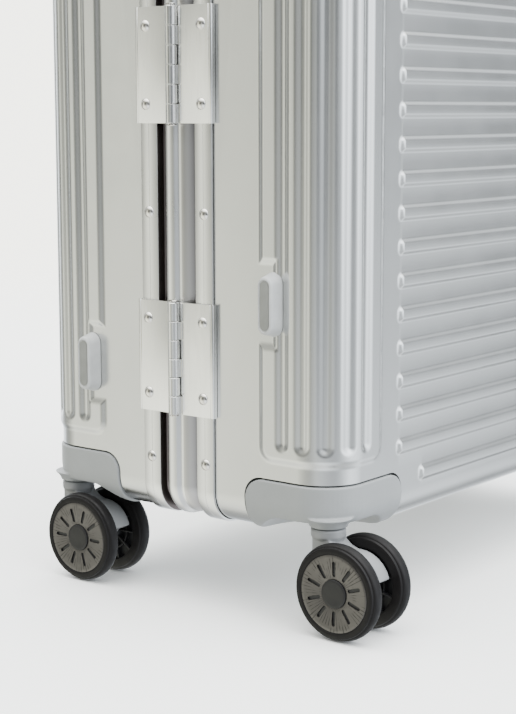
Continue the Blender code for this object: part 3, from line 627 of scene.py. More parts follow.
def panel_height(s, z, feet):
    """How far the fluted corner panel stands out at a place."""
    x = s - PANEL_MIDDLE
    inside = inside_box(x, z, PANEL_HALF_LENGTH, PANEL_LOW, PANEL_HIGH, PANEL_CORNER)
    for foot in feet:
        clear = max(abs(z - foot) - NOTCH_HALF_HEIGHT, x + PANEL_HALF_LENGTH - NOTCH_REACH)
        inside = min(inside, clear + PANEL_FLANK / 2)
    rise = PANEL_RISE * smooth_step(inside / PANEL_FLANK)
    if rise <= 0:
        return 0.0
    flute = x - FLUTE_PITCH * min(2, max(-2, round(x / FLUTE_PITCH)))
    end = max(0.0, FLUTE_LOW + FLUTE_HALF_WIDTH - z, z - (BOTTOM + TOP - FLUTE_LOW - FLUTE_HALF_WIDTH))
    reach = math.hypot(flute, end) / FLUTE_HALF_WIDTH
    groove = FLUTE_DEPTH * math.cos(math.pi / 2 * min(1.0, reach)) ** 2
    return max(0.0, rise - groove)


def rib_height(x, z):
    """How far the level ribs stand out on a wide face."""
    i = round((z - LOWEST_RIB_Z) / RIB_PITCH)
    i = min(RIB_COUNT - 1, max(0, i))
    middle = LOWEST_RIB_Z + i * RIB_PITCH
    half_length = LOWEST_RIB_HALF_LENGTH if i == 0 else RIB_HALF_LENGTH
    along = max(0.0, abs(x) - (half_length - RIB_HALF_HEIGHT))
    inside = RIB_HALF_HEIGHT - math.hypot(along, z - middle)
    end = smooth_step(max(0.0, half_length - abs(x)) / RIB_END)
    return RIB_RISE * smooth_step(inside / RIB_FLANK) * end


def panel_rows(feet):
    """Heights at which the corner panel needs points."""
    rows = [WALL_LOW] + spaced(PANEL_LOW - 0.001, FLUTE_LOW + 0.008, 0.0007)
    for foot in sorted(feet):
        for side in (-1, 1):
            edge = foot + side * NOTCH_HALF_HEIGHT
            rows += spaced(edge - 0.0035, edge + 0.0035, 0.0007)
    rows += [BOTTOM + TOP - z for z in reversed(spaced(PANEL_LOW - 0.001, FLUTE_LOW + 0.008, 0.0007))]
    return rows + [WALL_HIGH]


def rib_rows():
    rows = [WALL_LOW]
    for i in range(RIB_COUNT):
        middle = LOWEST_RIB_Z + i * RIB_PITCH
        low = spaced(middle - RIB_HALF_HEIGHT, middle - RIB_HALF_HEIGHT + RIB_FLANK, RIB_FLANK / 6)
        rows += low + [2 * middle - z for z in reversed(low)]
    return rows + [WALL_HIGH]


def half_outer_skin(bm, feet):
    """The outer surface of the front half from the hinge side rim to the middle of the wide face."""
    low, high = edge_levels(0), edge_levels(0, upper=True)

    def wall_point(s, z, rise=0.0):
        (x, y), out = outline_point(s, 0)
        return (x + out[0] * rise, y + out[1] * rise, z)

    def edge_rows(columns, levels):
        return [[(*outline_point(s, inset)[0], z) for s in columns] for inset, z in levels]

    def patch(columns, rows, height):
        grid(bm, edge_rows(columns, low))
        grid(bm, [[wall_point(s, z, height(s, z)) for s in columns] for z in rows])
        grid(bm, edge_rows(columns, high))

    def strip(left, right, left_rows, right_rows):
        grid(bm, edge_rows((left, right), low))
        grid(bm, edge_rows((left, right), high))
        ring = [wall_point(left, z) for z in left_rows] + [wall_point(right, z) for z in reversed(right_rows)]
        bm.faces.new([bm.verts.new(p) for p in ring])

    panel_from, panel_to = PANEL_MIDDLE - PANEL_HALF_LENGTH, PANEL_MIDDLE + PANEL_HALF_LENGTH
    panel_columns = spaced(panel_from - 0.0004, panel_to + 0.0004, 0.0006)
    rib_from = TO_MIDDLE - RIB_HALF_LENGTH - 0.0004
    lowest_end = TO_MIDDLE - LOWEST_RIB_HALF_LENGTH
    rib_columns = spaced(rib_from, rib_from + RIB_HALF_HEIGHT + 0.0008, 0.0006)
    rib_columns += spaced(lowest_end - 0.0002, lowest_end + RIB_HALF_HEIGHT + 0.0008, 0.0006) + [TO_MIDDLE]
    rows = panel_rows(feet)
    ribs = rib_rows()
    strip(-SIDE_LENGTH, panel_columns[0], [WALL_LOW, WALL_HIGH], rows)
    patch(panel_columns, rows, lambda s, z: panel_height(s, z, feet))
    strip(panel_columns[-1], rib_columns[0], rows, ribs)
    patch(rib_columns, ribs, lambda s, z: rib_height(s - TO_MIDDLE, z))
    return [-SIDE_LENGTH] + panel_columns + rib_columns


def flat_panel(bm, columns, wall, upper):
    """The flat bottom or top of a half, out to where its edge starts to round."""
    inset, z = level(0, wall, upper)
    left = [outline_point(s, inset)[0] for s in columns]
    ring = left + [(-x, y) for x, y in reversed(left) if x < -1e-9]
    bm.faces.new([bm.verts.new((x, y, z)) for x, y in ring])


def shell_mesh(hinge_feet):
    """The front half as a closed body: ribbed and fluted outside, plain inside."""
    bm = bmesh.new()
    columns = half_outer_skin(bm, hinge_feet)
    other = bmesh.new()
    half_outer_skin(other, ())
    bmesh.ops.transform(other, matrix=Matrix.Diagonal((-1, 1, 1, 1)), verts=other.verts)
    mirror = bpy.data.meshes.new("mirror")
    other.to_mesh(mirror)
    other.free()
    bm.from_mesh(mirror)
    flat_panel(bm, columns, 0, False)
    flat_panel(bm, columns, 0, True)
    inner_columns = [-SIDE_LENGTH] + spaced(0, CORNER_ARC, 0.004) + [TO_MIDDLE]
    for sign in (1, -1):
        rows = [[(sign * x, y, z) for x, y in (outline_point(s, inset)[0] for s in inner_columns)]
                for inset, z in edge_levels(WALL, 5) + edge_levels(WALL, 5, upper=True)]
        grid(bm, rows)
    flat_panel(bm, inner_columns, WALL, False)
    flat_panel(bm, inner_columns, WALL, True)
    bmesh.ops.remove_doubles(bm, verts=bm.verts, dist=2e-6)
    rim = [e for e in bm.edges if e.is_boundary]
    bmesh.ops.triangle_fill(bm, edges=rim, use_beauty=True)
    return mesh_from(bm)


def corner_block(grow):
    """The block that a corner guard fills at the front left, with its lobed upper ends."""
    low = Vector((-HALF_WIDTH - 0.01, -HALF_DEPTH - 0.01, BOTTOM - 0.01))
    high = in_case("corner_guard_front_left")[1] + Vector((grow, grow, grow))
    bm = box_between(low, high)

    def on(edge, axis):
        return all(abs(v.co[axis] - high[axis]) < 1e-6 for v in edge.verts)

    lobes = [e for e in bm.edges if on(e, 2) and (on(e, 0) or on(e, 1))]
    return bevelled(bm, lobes, 0.0112, 14)


def build_shells():
    feet = {half: [(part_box(f"rest_foot_{half}_{l}")[0].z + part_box(f"rest_foot_{half}_{l}")[1].z) / 2
                   for l in UPPER_LOWER] for half in ("front", "back")}
    block_left = corner_block(0.0010)
    tools = block_left, mirrored(block_left, x=-1)
    for half, body, sy in HALVES:
        mesh = cut(shell_mesh(feet[half]), *tools)
        if sy > 0:
            mesh = mirrored(mesh, y=-1)
            low, high = in_case("pull_handle_bezel")
            room = [(x, y + (low.y + high.y) / 2) for x, y in
                    rounded_rectangle(high.x + 0.0004, (high.y - low.y) / 2 + 0.0004, 0.004)]
            mesh = cut(mesh, extruded(room, low.z, TOP + 0.02))
        finish_piece(mesh, f"shell_{half}_skin", body, SHELL_PAINT, [f"shell_{half}"], 28)


# --- Frame

def swept_frame(section):
    """Sweeps a section of (outward, along Y) points round the case's outline."""
    steps = 10
    inner_x = HALF_WIDTH - EDGE_RADIUS
    inner_z = (TOP - BOTTOM) / 2 - EDGE_RADIUS
    rings = []
    for quarter, (sx, sz) in enumerate(((1, 1), (-1, 1), (-1, -1), (1, -1))):
        for i in range(steps + 1):
            a = math.radians(90 * (quarter + i / steps))
            out = Vector((math.cos(a), 0, math.sin(a)))
            base = Vector((sx * inner_x, 0, MIDDLE_Z + sz * inner_z)) + out * EDGE_RADIUS
            rings.append([base + out * outward + Vector((0, along, 0)) for outward, along in section])
    return ring_loft(rings)


def rail_section(seam_side, side):
    """Rail with softened edges and a fine line along it, the slot for the shell, then the seam side."""
    gap, soft = 0.0003, 0.0004
    slot_end, inside = RIM_START - gap, -WALL - gap
    line = RIVET_Y - 0.0003
    rail = [(RAIL_RISE - soft, RAIL_INNER), (RAIL_RISE - soft * 0.3, RAIL_INNER + soft * 0.3),
            (RAIL_RISE, RAIL_INNER + soft), (RAIL_RISE, line - 0.0002), (RAIL_RISE - 0.0004, line),
            (RAIL_RISE, line + 0.0002), (RAIL_RISE, RAIL_OUTER - soft),
            (RAIL_RISE - soft * 0.3, RAIL_OUTER - soft * 0.3), (RAIL_RISE - soft, RAIL_OUTER),
            (0.0005, RAIL_OUTER), (0.0005, slot_end), (inside, slot_end), (inside, 0.0215),
            (inside - 0.0014, 0.0215), (inside - 0.0014, slot_end), (-0.0095, slot_end),
            (-0.0095, SEAM_GAP), (-0.0034, SEAM_GAP), (-0.0028, SEAM_LIP)]
    return [(outward, side * along) for outward, along in rail + seam_side]


def outward_of(point):
    """How far a point near the case's outline stands outside it."""
    x = max(0.0, abs(point.x) - (HALF_WIDTH - EDGE_RADIUS))
    z = max(0.0, abs(point.z - MIDDLE_Z) - ((TOP - BOTTOM) / 2 - EDGE_RADIUS))
    return math.hypot(x, z) - EDGE_RADIUS


def build_frames():
    channel = [(-0.0010, SEAM_LIP), (-0.0006, SEAM_LIP + 0.0004), (-0.0006, 0.0020), (-0.0010, 0.0038),
               (-0.0018, 0.0056), (-0.0030, 0.0076), (-0.0046, 0.0096), (-0.0064, 0.0114),
               (-0.0074, 0.0124), (-0.0075, 0.0131)]
    bead = [(-0.0017, SEAM_LIP), (-0.0012, 0.0008), (-0.0002, 0.0014), (0.0006, 0.0021), (0.0010, 0.0032),
            (0.0011, 0.0048), (0.0011, 0.0062), (0.0008, 0.0075), (0.0001, 0.0085), (-0.0018, 0.0092),
            (-0.0044, 0.0093), (-0.0045, 0.0095), (-0.0042, 0.0124), (-0.0036, 0.0131)]
    for half, body, side in HALVES:
        section, groove_start = (channel, 0.0016) if half == "front" else (bead, 0.0086)
        mesh = swept_frame(rail_section(section, side))
        # faces in the recess beside the seam and in the slot by the bead get the painted shade finish, darker
        # than the rails
        takes_painted_shade = [groove_start < abs(f.center.y) < RAIL_INNER and outward_of(f.center) > -0.0080
                     for f in mesh.polygons]
        finish_piece(mesh, f"frame_{half}_extrusion", body, [EXTRUSION, GROOVE_PAINTED_SHADE], [f"frame_{half}"], 25)
        for face, gets_painted_shade in zip(mesh.polygons, takes_painted_shade):
            face.material_index = 1 if gets_painted_shade else 0
    half = 0.0007
    lip = [(-0.0040 + 0.0003 * math.cos(a) - 0.0003, half * math.sin(a)) for a in
           (math.radians(t) for t in range(-90, 91, 30))]
    finish_piece(swept_frame([(-0.0065, -half)] + lip + [(-0.0065, half)]), "frame_seal_strip",
                 "back_half", SEAL, ["frame_seal"])


# --- Hinges

def build_hinges():
    half_height, axis_out, radius = 0.031, 0.0045, 0.0033
    knuckles, gap = 6, 0.0003
    step = 2 * half_height / knuckles
    for level_name in HINGES:
        centre = centre_of(f"hinge_{level_name}_pin")
        for half, body, sy in HALVES:
            top, foot = LEAF_TOP, 0.0003
            outline = [(0.0024, 0.0029), (0.0027, 0.0033), (top - 0.00005, 0.0051), (top, 0.0054),
                       (top, 0.0247), (top - 0.0004, 0.0249), (top - 0.0004, 0.0251), (top, 0.0253)]
            outline += arc((top - 0.0010, 0.0260), 0.0010, 5, 90, 6)
            outline += [(foot, 0.0270), (foot, 0.0256), (0.0019, 0.0254), (0.0019, 0.0040)]
            plate = [(-HALF_WIDTH - out, sy * along) for out, along in outline]
            low, high = centre.z - half_height, centre.z + half_height
            bm = bmesh.new()
            bm.from_mesh(extruded(plate, low, high))
            ends = [e for e in bm.edges if abs(e.verts[0].co.z - e.verts[1].co.z) < 1e-6]
            parts = [bevelled(bm, ends, 0.0002, 2)]
            for i in range(0 if sy < 0 else 1, knuckles, 2):
                base = low + i * step + gap / 2
                tube = lathe([(0.0016, base), (radius - 0.0002, base), (radius, base + 0.0002),
                              (radius, base + step - gap - 0.0002), (radius - 0.0002, base + step - gap),
                              (0.0016, base + step - gap), (0.0016, base)], 40)
                parts.append(moved(tube, Matrix.Translation((centre.x, 0, 0))))
                tongue = [(-HALF_WIDTH - axis_out + 0.0012, sy * 0.0016), (-HALF_WIDTH - 0.0020, sy * 0.0028),
                          (-HALF_WIDTH - 0.0020, sy * 0.0050), (-HALF_WIDTH - top + 0.0001, sy * 0.0050),
                          (-HALF_WIDTH - top - 0.0003, sy * 0.0030)]
                parts.append(extruded(tongue, base + 0.0001, base + step - gap - 0.0001))
            finish_piece(joined(parts), f"hinge_{level_name}_{half}_leaf_plate", body, HINGE_METAL,
                         [f"hinge_{level_name}_{half}_leaf"], 30)
        low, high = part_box(f"hinge_{level_name}_pin")
        end = (high.z - low.z) / 2
        pin = lathe([(0, -end), (0.0018, -end), (0.0026, -end + 0.0005), (0.0026, -end + 0.0010),
                     (0.0013, -end + 0.0010), (0.0013, end - 0.0010), (0.0026, end - 0.0010),
                     (0.0026, end - 0.0005), (0.0018, end), (0, end)], 28)
        finish_piece(moved(pin, Matrix.Translation(centre)), f"hinge_{level_name}_pin_rod", "back_half",
                     POLISHED, [f"hinge_{level_name}_pin"])


def rivet():
    """A domed rivet head about its seat at z = 0."""
    radius, rise, steepest = 0.0032, 0.0015, math.radians(52)
    sphere = radius / math.sin(steepest)
    top = sphere * (1 - math.cos(steepest))
    dome = [(sphere * math.sin(a), 0.0002 + (sphere * math.cos(a) - sphere * math.cos(steepest)) * rise / top)
            for a in (steepest * (1 - i / 10) for i in range(11))]
    return lathe([(0, 0), (radius, 0)] + dome, 28)


def build_rivets():
    """Rivets along each rail: through the hinge leaves, and between the fittings elsewhere."""
    hinge_z = [centre_of(f"hinge_{l}_pin").z for l in HINGES]
    side_z = [z + dz for z in hinge_z for dz in (-0.0208, 0.0208)]
    lowest_rivet = 0.0817
    rail_z = [lowest_rivet, (hinge_z[0] + hinge_z[1]) / 2, (hinge_z[1] + hinge_z[2]) / 2,
              BOTTOM + TOP - lowest_rivet]
    latch_z = [centre_of(f"latch_{l}_base").z for l in UPPER_LOWER]
    right_z = [lowest_rivet, latch_z[0] + 0.045, latch_z[1] - 0.045, BOTTOM + TOP - lowest_rivet]
    head = rivet()
    turn_left = Matrix.Rotation(-math.pi / 2, 4, "Y")
    turn_down = Matrix.Rotation(math.pi, 4, "X")
    for half, body, sy in HALVES:
        y = sy * RIVET_Y
        places = [Matrix.Translation((-HALF_WIDTH - LEAF_TOP, y, z)) @ turn_left for z in side_z]
        places += [Matrix.Translation((-HALF_WIDTH - RAIL_RISE, y, z)) @ turn_left for z in rail_z]
        places += [Matrix.Translation((HALF_WIDTH + RAIL_RISE, y, z)) @ AROUND_X for z in right_z]
        for x in (-0.135, -0.045, 0.045, 0.135):
            places.append(Matrix.Translation((x, y, BOTTOM - RAIL_RISE)) @ turn_down)
        for x in (-0.145, -0.1, 0.1, 0.145):
            places.append(Matrix.Translation((x, y, TOP + RAIL_RISE)))
        heads = joined([moved(head, place) for place in places])
        finish_piece(heads, f"rivets_{half}", body, POLISHED, angle=50)


# --- Rest feet

def stadium(half_width, half_height, steps=16):
    straight = half_height - half_width
    return (arc((0, straight), half_width, 0, 180, steps) +
            arc((0, -straight), half_width, 180, 360, steps))


def build_feet():
    for half, body, sy in HALVES:
        for which in UPPER_LOWER:
            node = f"rest_foot_{half}_{which}"
            low, high = in_case(node)
            centre, rise = (low + high) / 2, high.x - low.x
            turn = Matrix(((0, 0, -1, high.x), (1, 0, 0, centre.y), (0, 1, 0, centre.z), (0, 0, 0, 1)))
            half_width, half_height = (high.y - low.y) / 2, (high.z - low.z) / 2
            base_inset = 0.0012
            levels = [(0.0, 0.0), (0.0, 0.0003)]
            levels += [(0.30 * t, t * (rise - 0.0022)) for t in (0.15, 0.35, 0.6, 0.8, 1.0)]
            rings = []
            for share, z in levels:
                inset = base_inset * share / 0.3
                rings.append([(x, y, z) for x, y in stadium(half_width - inset, half_height - inset * 1.3)])
            for t in range(15, 91, 15):
                a = math.radians(t)
                inset = base_inset + 0.0022 * (1 - math.cos(a)) * 0.62
                z = rise - 0.0022 + 0.0022 * math.sin(a)
                rings.append([(x, y, z) for x, y in stadium(half_width - inset, half_height - inset * 1.25)])
            face_inset = base_inset + 0.0022 * 0.62 + 0.0001
            for inset, z in ((face_inset, rise), (face_inset + 0.0001, rise - 0.0004),
                             (face_inset + 0.0005, rise - 0.0005)):
                rings.append([(x, y, z) for x, y in stadium(half_width - inset, half_height - inset * 1.25)])
            finish_piece(moved(loft(rings), turn), f"{node}_base", body, FOOT, [node], 50)
            pad = []
            for inset, z in ((0.0006, rise - 0.0004), (0.0006, rise - 0.00015), (0.0009, rise - 0.0001)):
                outline = stadium(half_width - face_inset - inset, half_height - (face_inset + inset) * 1.25)
                pad.append([(x, y, z) for x, y in outline])
            finish_piece(moved(loft(pad), turn), f"{node}_pad", body, FOOT_PAD, angle=50)


# --- Corner guards and casters

def guard_body():
    """The rounded case corner, grown to the guard's own surface, as a closed body."""
    grow = 0.0012
    columns = spaced(-SIDE_LENGTH, 0, 0.012) + spaced(0, CORNER_ARC, 0.0025)[1:]
    columns += spaced(CORNER_ARC, CORNER_ARC + 0.05, 0.012)[1:]
    rows = []
    for i in range(11):
        tilt = math.pi / 2 * i / 10
        reach = EDGE_RADIUS + grow
        rows.append((EDGE_RADIUS - reach * math.sin(tilt), BOTTOM + EDGE_RADIUS - reach * math.cos(tilt)))
    rows.append((-grow, BOTTOM + 0.06))
    bm = bmesh.new()
    verts = grid(bm, [[(*outline_point(s, inset)[0], z) for s in columns] for inset, z in rows])
    inner_x = outline_point(columns[-1], 0)[0][0]
    corners = []
    for row in (verts[0], verts[-1]):
        corners.append(bm.verts.new((inner_x, -RIM_START, row[0].co.z)))
        bm.faces.new(row + corners[-1:])
    for end in (0, -1):
        bm.faces.new([row[end] for row in verts] + corners[::-1])
    return mesh_from(bm)


def dish(stem, steps=10):
    """The hollow under a guard: a shallow bowl that gives the casters room."""
    foot_z, top_z = BOTTOM - 0.006, 0.0588
    outer, inner = 0.052, 0.026
    profile = [(0, foot_z), (outer, foot_z)]
    for i in range(1, steps + 1):
        t = i / steps
        profile.append((outer + (inner - outer) * t, foot_z + (top_z - foot_z) * smooth_step(t) ** 0.8))
    profile.append((0, top_z))
    return moved(lathe(profile, 64), Matrix.Translation(stem))


def guard_mesh(stem):
    body = common(guard_body(), corner_block(0))
    body = cut(body, dish(stem))
    collar = lathe([(0, 0.056), (0.0098, 0.056), (0.0105, 0.0567), (0.0105, 0.0575), (0.0118, 0.0595),
                    (0.0140, 0.0615), (0, 0.0615)], 48)
    skin = moulded(joined([body, moved(collar, Matrix.Translation(stem))]), 0.0006, 5)
    return cut(skin, moved(rod(0.0054, 0.050, 0.0712, 32), Matrix.Translation(stem)))


def fork_mesh():
    """Stem, head and the fender between the wheels, about the swivel axis; the trail points to -Y."""
    trail = STEMS["front_left"].y - WHEELS["front_left"].y
    axle = (trail, WHEEL_RADIUS)
    half = 0.0078
    turn = Matrix(((0, 0, 1, 0), (-1, 0, 0, 0), (0, 1, 0, 0), (0, 0, 0, 1)))
    fender = arc(axle, 0.0186, 17, 95, 16) + [(0.0105, 0.0460), (0.0068, 0.0488), (0.0050, 0.0515)]
    fender += [(-0.0050, 0.0515), (-0.0050, 0.0345)] + arc(axle, 0.0066, 215, 330, 10)
    fender += arc(axle, 0.0120, 20, 12, 2)
    web = moved(extruded(fender, -half, half), turn)
    head = lathe([(0, 0.0470), (0.0060, 0.0470), (0.0095, 0.0512), (0.0095, 0.0549), (0.0088, 0.0556),
                  (0, 0.0556)], 48)
    neck = moved(rod(0.0076, 0.0345, 0.0530, 48), Matrix.Translation((0, 0.0015, 0)))
    body = joined([web, head, neck])
    body = with_modifier(body, "REMESH", mode="VOXEL", voxel_size=0.0005, use_smooth_shade=True)
    place = Matrix.Translation((0, -trail, WHEEL_RADIUS)) @ AROUND_X
    for side in (-1, 1):
        ends = sorted((side * (half + 0.0004), side * 0.03))
        body = cut(body, moved(rod(WHEEL_RADIUS + 0.0008, *ends, 64), place))
    body = cut(body, moved(rod(0.0029, -0.02, 0.02, 32), place))
    body = moulded(body, 0.00045, 3)
    stem = lathe([(0, 0.0540), (0.0049, 0.0540), (0.0049, 0.0692), (0.0042, 0.0699), (0, 0.0699)], 32)
    return joined([body, stem])


def tyre_mesh():
    """The tread with its side ring, about the axle along Z; the cover's side is at z = width."""
    r, w = WHEEL_RADIUS, TYRE_WIDTH
    crown = []
    for t in range(0, 181, 12):
        a = math.radians(t)
        crown.append((r - 0.0016 + 0.0016 * math.sin(a), w / 2 + (w / 2 - 0.0016) * math.cos(a)))
    profile = [(0.0205, w - 0.0012), (0.0209, w - 0.0003), (0.0213, w - 0.0001), (0.0232, w - 0.0001),
               (0.0240, w - 0.0005), (0.0244, w - 0.0015)]
    profile += crown
    profile += [(0.0238, 0.0006), (0.0225, 0.0002), (0.0190, 0.0002), (0.0186, 0.0008), (0.0186, 0.0030),
                (0.0205, 0.0035)]
    return lathe(profile + profile[:1], 96)


def hub_mesh():
    """The black inner side of a wheel: a dished disc with ribs and a hub round the axle."""
    disc = lathe([(0.0029, 0.0084), (0.0029, 0.0006), (0.0062, 0.0006), (0.0066, 0.0010), (0.0070, 0.0040),
                  (0.0180, 0.0040), (0.0195, 0.0036), (0.0206, 0.0040), (0.0206, 0.0086), (0.0040, 0.0086),
                  (0.0029, 0.0084)], 64)
    parts = [disc]
    rib = block((0.0060, -0.0005, 0.0016), (0.0192, 0.0005, 0.0050), 0.0002, 2)
    parts += [moved(rib, Matrix.Rotation(2 * math.pi * i / SPOKES, 4, "Z")) for i in range(SPOKES)]
    ring = lathe([(0.0118, 0.0020), (0.0126, 0.0020), (0.0126, 0.0050), (0.0118, 0.0050),
                  (0.0118, 0.0020)], 48)
    return joined(parts + [ring])


def cover_mesh():
    """The slotted hub cover: a shallow dished disc with radial slots right through it."""
    w = TYRE_WIDTH
    disc = lathe([(0.0077, w - 0.0016), (0.0077, w - 0.0010), (0.0085, w - 0.0008), (0.0190, w - 0.0003),
                  (0.0203, w - 0.00015), (0.0207, w - 0.0004), (0.0207, w - 0.0012), (0.0190, w - 0.0013),
                  (0.0085, w - 0.0016), (0.0077, w - 0.0016)], 120)
    half_width, start, end = 0.00100, 0.0092, 0.0174
    slot = [((start + end) / 2 + y, x) for x, y in stadium(half_width, (end - start) / 2, 8)]
    cutter = extruded(slot, w - 0.004, w + 0.002)
    cutters = joined([moved(cutter, Matrix.Rotation(2 * math.pi * i / SPOKES, 4, "Z"))
                      for i in range(SPOKES)])
    return cut(disc, cutters)


def cap_mesh():
    w = TYRE_WIDTH
    return lathe([(0, w - 0.0020), (0.0076, w - 0.0020), (0.0076, w - 0.0004), (0.0072, w - 0.0001),
                  (0.0060, w - 0.00005), (0, w - 0.0002)], 64)


def caster_places():
    """Each swivel axis at floor height, and each axle's centre."""
    stems, wheels = {}, {}
    for corner, _, _ in CORNERS:
        stems[corner] = pivot_of(f"caster_{corner}_swivel")
        stems[corner].z = 0
        wheels[corner] = centre_of(f"caster_{corner}_axle")
    return stems, wheels


STEMS, WHEELS = caster_places()


def build_casters():
    guard = guard_mesh(STEMS["front_left"])
    fork = fork_mesh()
    tyre, hub, cover, cap = tyre_mesh(), hub_mesh(), cover_mesh(), cap_mesh()
    for corner, sx, sy in CORNERS:
        carrier = "front_half" if sy < 0 else "back_half"
        finish_piece(mirrored(guard, -sx, -sy), f"corner_guard_{corner}_moulding", carrier, GUARD_PLASTIC,
                     [f"corner_guard_{corner}"], 50)
        place = Matrix.Translation(STEMS[corner])
        finish_piece(moved(fork, place), f"caster_{corner}_fork_moulding", f"caster_{corner}", FORK_PLASTIC,
                     [f"caster_{corner}_fork"], 50)
        axle = frame["nodes"][f"caster_{corner}_axle"]
        axle.data.materials.clear()
        axle.data.materials.append(HUB_BLACK)
        for end, ex in zip(SIDES, (-1, 1)):
            body = f"caster_{corner}_wheel_{end}"
            low, high = in_case(body)
            inner = high.x if ex < 0 else low.x
            centre = Vector((inner, WHEELS[corner].y, WHEEL_RADIUS))
            spin = Matrix.Rotation(math.radians(SPIN[corner]), 4, "Z")
            place = Matrix.Translation(centre) @ Matrix.Rotation(ex * math.pi / 2, 4, "Y")
            for mesh, part, material in ((tyre, "tread", TYRE), (hub, "hub", HUB_BLACK),
                                         (cover, "cover", COVER), (cap, "cap", CAP_PLASTIC)):
                finish_piece(moved(mesh, spin), f"{body}_{part}", body, material,
                             [body] if part == "tread" else (), 40, place)



# --- Carry handles

def bail_mesh():
    """A carry handle's grip, folded flat: pivots along X at the origin, the bar towards +Y."""
    leg_x, reach = 0.058, 0.029
    bar = rounded_rectangle(0.0060, 0.0031, 0.0029, 6)
    rings = []
    for i in range(25):
        t = -1 + 2 * i / 24
        x = t * (leg_x + 0.0046)
        swell = 1 - 0.10 * t * t
        rings.append([(x, reach + p * swell, q * swell) for p, q in bar])
    parts = [loft(rings)]
    for side in (-1, 1):
        leg = rounded_rectangle(0.0042, 0.0029, 0.0026, 6)
        rows = []
        for y, grow in ((-0.0036, 0.55), (-0.0030, 0.85), (-0.0018, 1.0), (0.012, 0.95), (reach, 1.0)):
            rows.append([(side * leg_x + p * grow, y, q * grow) for p, q in leg])
        parts.append(loft(rows))
    skin = moulded(joined(parts), 0.0006, 3)
    pins = []
    for side in (-1, 1):
        pin = lathe([(0, 0.0), (0.0020, 0.0), (0.0020, 0.0130), (0.0016, 0.0134), (0, 0.0134)], 24)
        place = Matrix.Translation((side * leg_x, 0, 0)) @ Matrix.Rotation(side * math.pi / 2, 4, "Y")
        pins.append(moved(pin, place))
    return joined([skin] + pins)


def bracket_mesh(side):
    """A bracket that holds one pivot pin, with a screw head on its top."""
    near = 0.0628
    low, high = (near, -0.0048, -0.0052), (near + 0.0140, 0.0090, 0.0037)
    body = block(low, high, 0.0019, 4)
    body = cut(body, moved(rod(0.0024, 0.05, 0.0718), AROUND_X))
    screw = lathe([(0, 0.0030), (0.0024, 0.0030), (0.0024, 0.00365), (0.0020, 0.0039), (0.0009, 0.0039),
                   (0.0009, 0.0034), (0, 0.0034)], 24)
    screw = moved(screw, Matrix.Translation((near + 0.0088, 0.0042, 0)))
    return [mirrored(m, side) for m in (body, screw)]


def build_carry_handles():
    bail = bail_mesh()
    for name, ends, turn in (("top_handle", ("left", "right"), Matrix.Identity(4)),
                             ("side_handle", ("upper", "lower"), AROUND_X)):
        place = Matrix.Translation(pivot_of(f"{name}_pivot")) @ turn
        finish_piece(moved(bail, place), f"{name}_grip_moulding", name, HANDLE_PLASTIC,
                     [f"{name}_grip"], 50)
        for side, end in zip((-1, 1), ends):
            body, screw = bracket_mesh(side)
            finish_piece(moved(body, place), f"{name}_bracket_{end}_moulding", "back_half", HANDLE_PLASTIC,
                         [f"{name}_bracket_{end}"], 35)
            finish_piece(moved(screw, place), f"{name}_bracket_{end}_screw", "back_half", POLISHED,
                         angle=35)


# --- Latches

def build_latches():
    for which in UPPER_LOWER:
        pivot = pivot_of(f"latch_{which}_pivot")
        place = Matrix.Translation(pivot)
        seat = HALF_WIDTH + 0.0019 - pivot.x
        base = block((seat, -0.0120, -0.028), (seat + 0.0026, 0.0040, 0.028), 0.0008, 3)
        parts = [base]
        for z in (-0.028, 0.0242):
            ear = block((seat + 0.0004, -0.0033, z), (0.0025, 0.0033, z + 0.0038), 0.0011, 4)
            parts.append(cut(ear, rod(0.0019, -0.04, 0.04)))
        finish_piece(moved(joined(parts), place), f"latch_{which}_base_plate", "back_half", HINGE_METAL,
                     [f"latch_{which}_base"])
        heads = [moved(rivet(), Matrix.Translation((seat + 0.0025, -0.0085, z)) @ AROUND_X)
                 for z in (-0.019, 0.019)]
        finish_piece(moved(joined(heads), place), f"latch_{which}_base_rivets", "back_half", POLISHED)
        half = 0.0239
        barrel = lathe([(0, -half), (0.00235, -half), (0.00255, -half + 0.0002), (0.00255, half - 0.0002),
                        (0.00235, half), (0, half)], 40)
        outline = [(0.0012, -0.0014), (0.0014, -0.006), (0.0012, -0.0300), (0.0013, -0.0350),
                   (0.0020, -0.0385), (0.0014, -0.0398), (0.0004, -0.0399), (-0.0016, -0.0380),
                   (-0.0018, -0.0300), (-0.0018, -0.0010)]
        plate = extruded(outline, -half + 0.0002, half - 0.0002)
        plate = cut(plate, block((0.0006, -0.0280, -0.0150), (0.0040, -0.0085, 0.0150), 0.0006, 2))
        plate = with_modifier(plate, "BEVEL", width=0.0003, segments=2, limit_method="ANGLE",
                              angle_limit=math.radians(50))
        pin = rod(0.0016, -0.0277, 0.0277)
        finish_piece(moved(joined([barrel, plate, pin]), place), f"latch_{which}_lever_plate",
                     f"latch_{which}_lever", HINGE_METAL, [f"latch_{which}_lever"])
        low, high = in_case(f"latch_{which}_keeper")
        finish_piece(block(low, high, 0.0009, 4), f"latch_{which}_keeper_plate", "front_half", HINGE_METAL,
                     [f"latch_{which}_keeper"])


# --- Pull handle

def raised(points, z, x=0.0, y=0.0):
    """A flat outline shifted to a place."""
    return [(x + p, y + q, z) for p, q in points]


def hollow_tube(outer, inner, radius, x, y, low, high):
    """A flat oval tube standing upright, open at both ends."""
    rings = []
    for half, corner, z in ((inner, radius * 0.75, low), (outer, radius, low), (outer, radius, high),
                            (inner, radius * 0.75, high)):
        rings.append(raised(rounded_rectangle(*half, corner, 6), z, x, y))
    return ring_loft(rings)


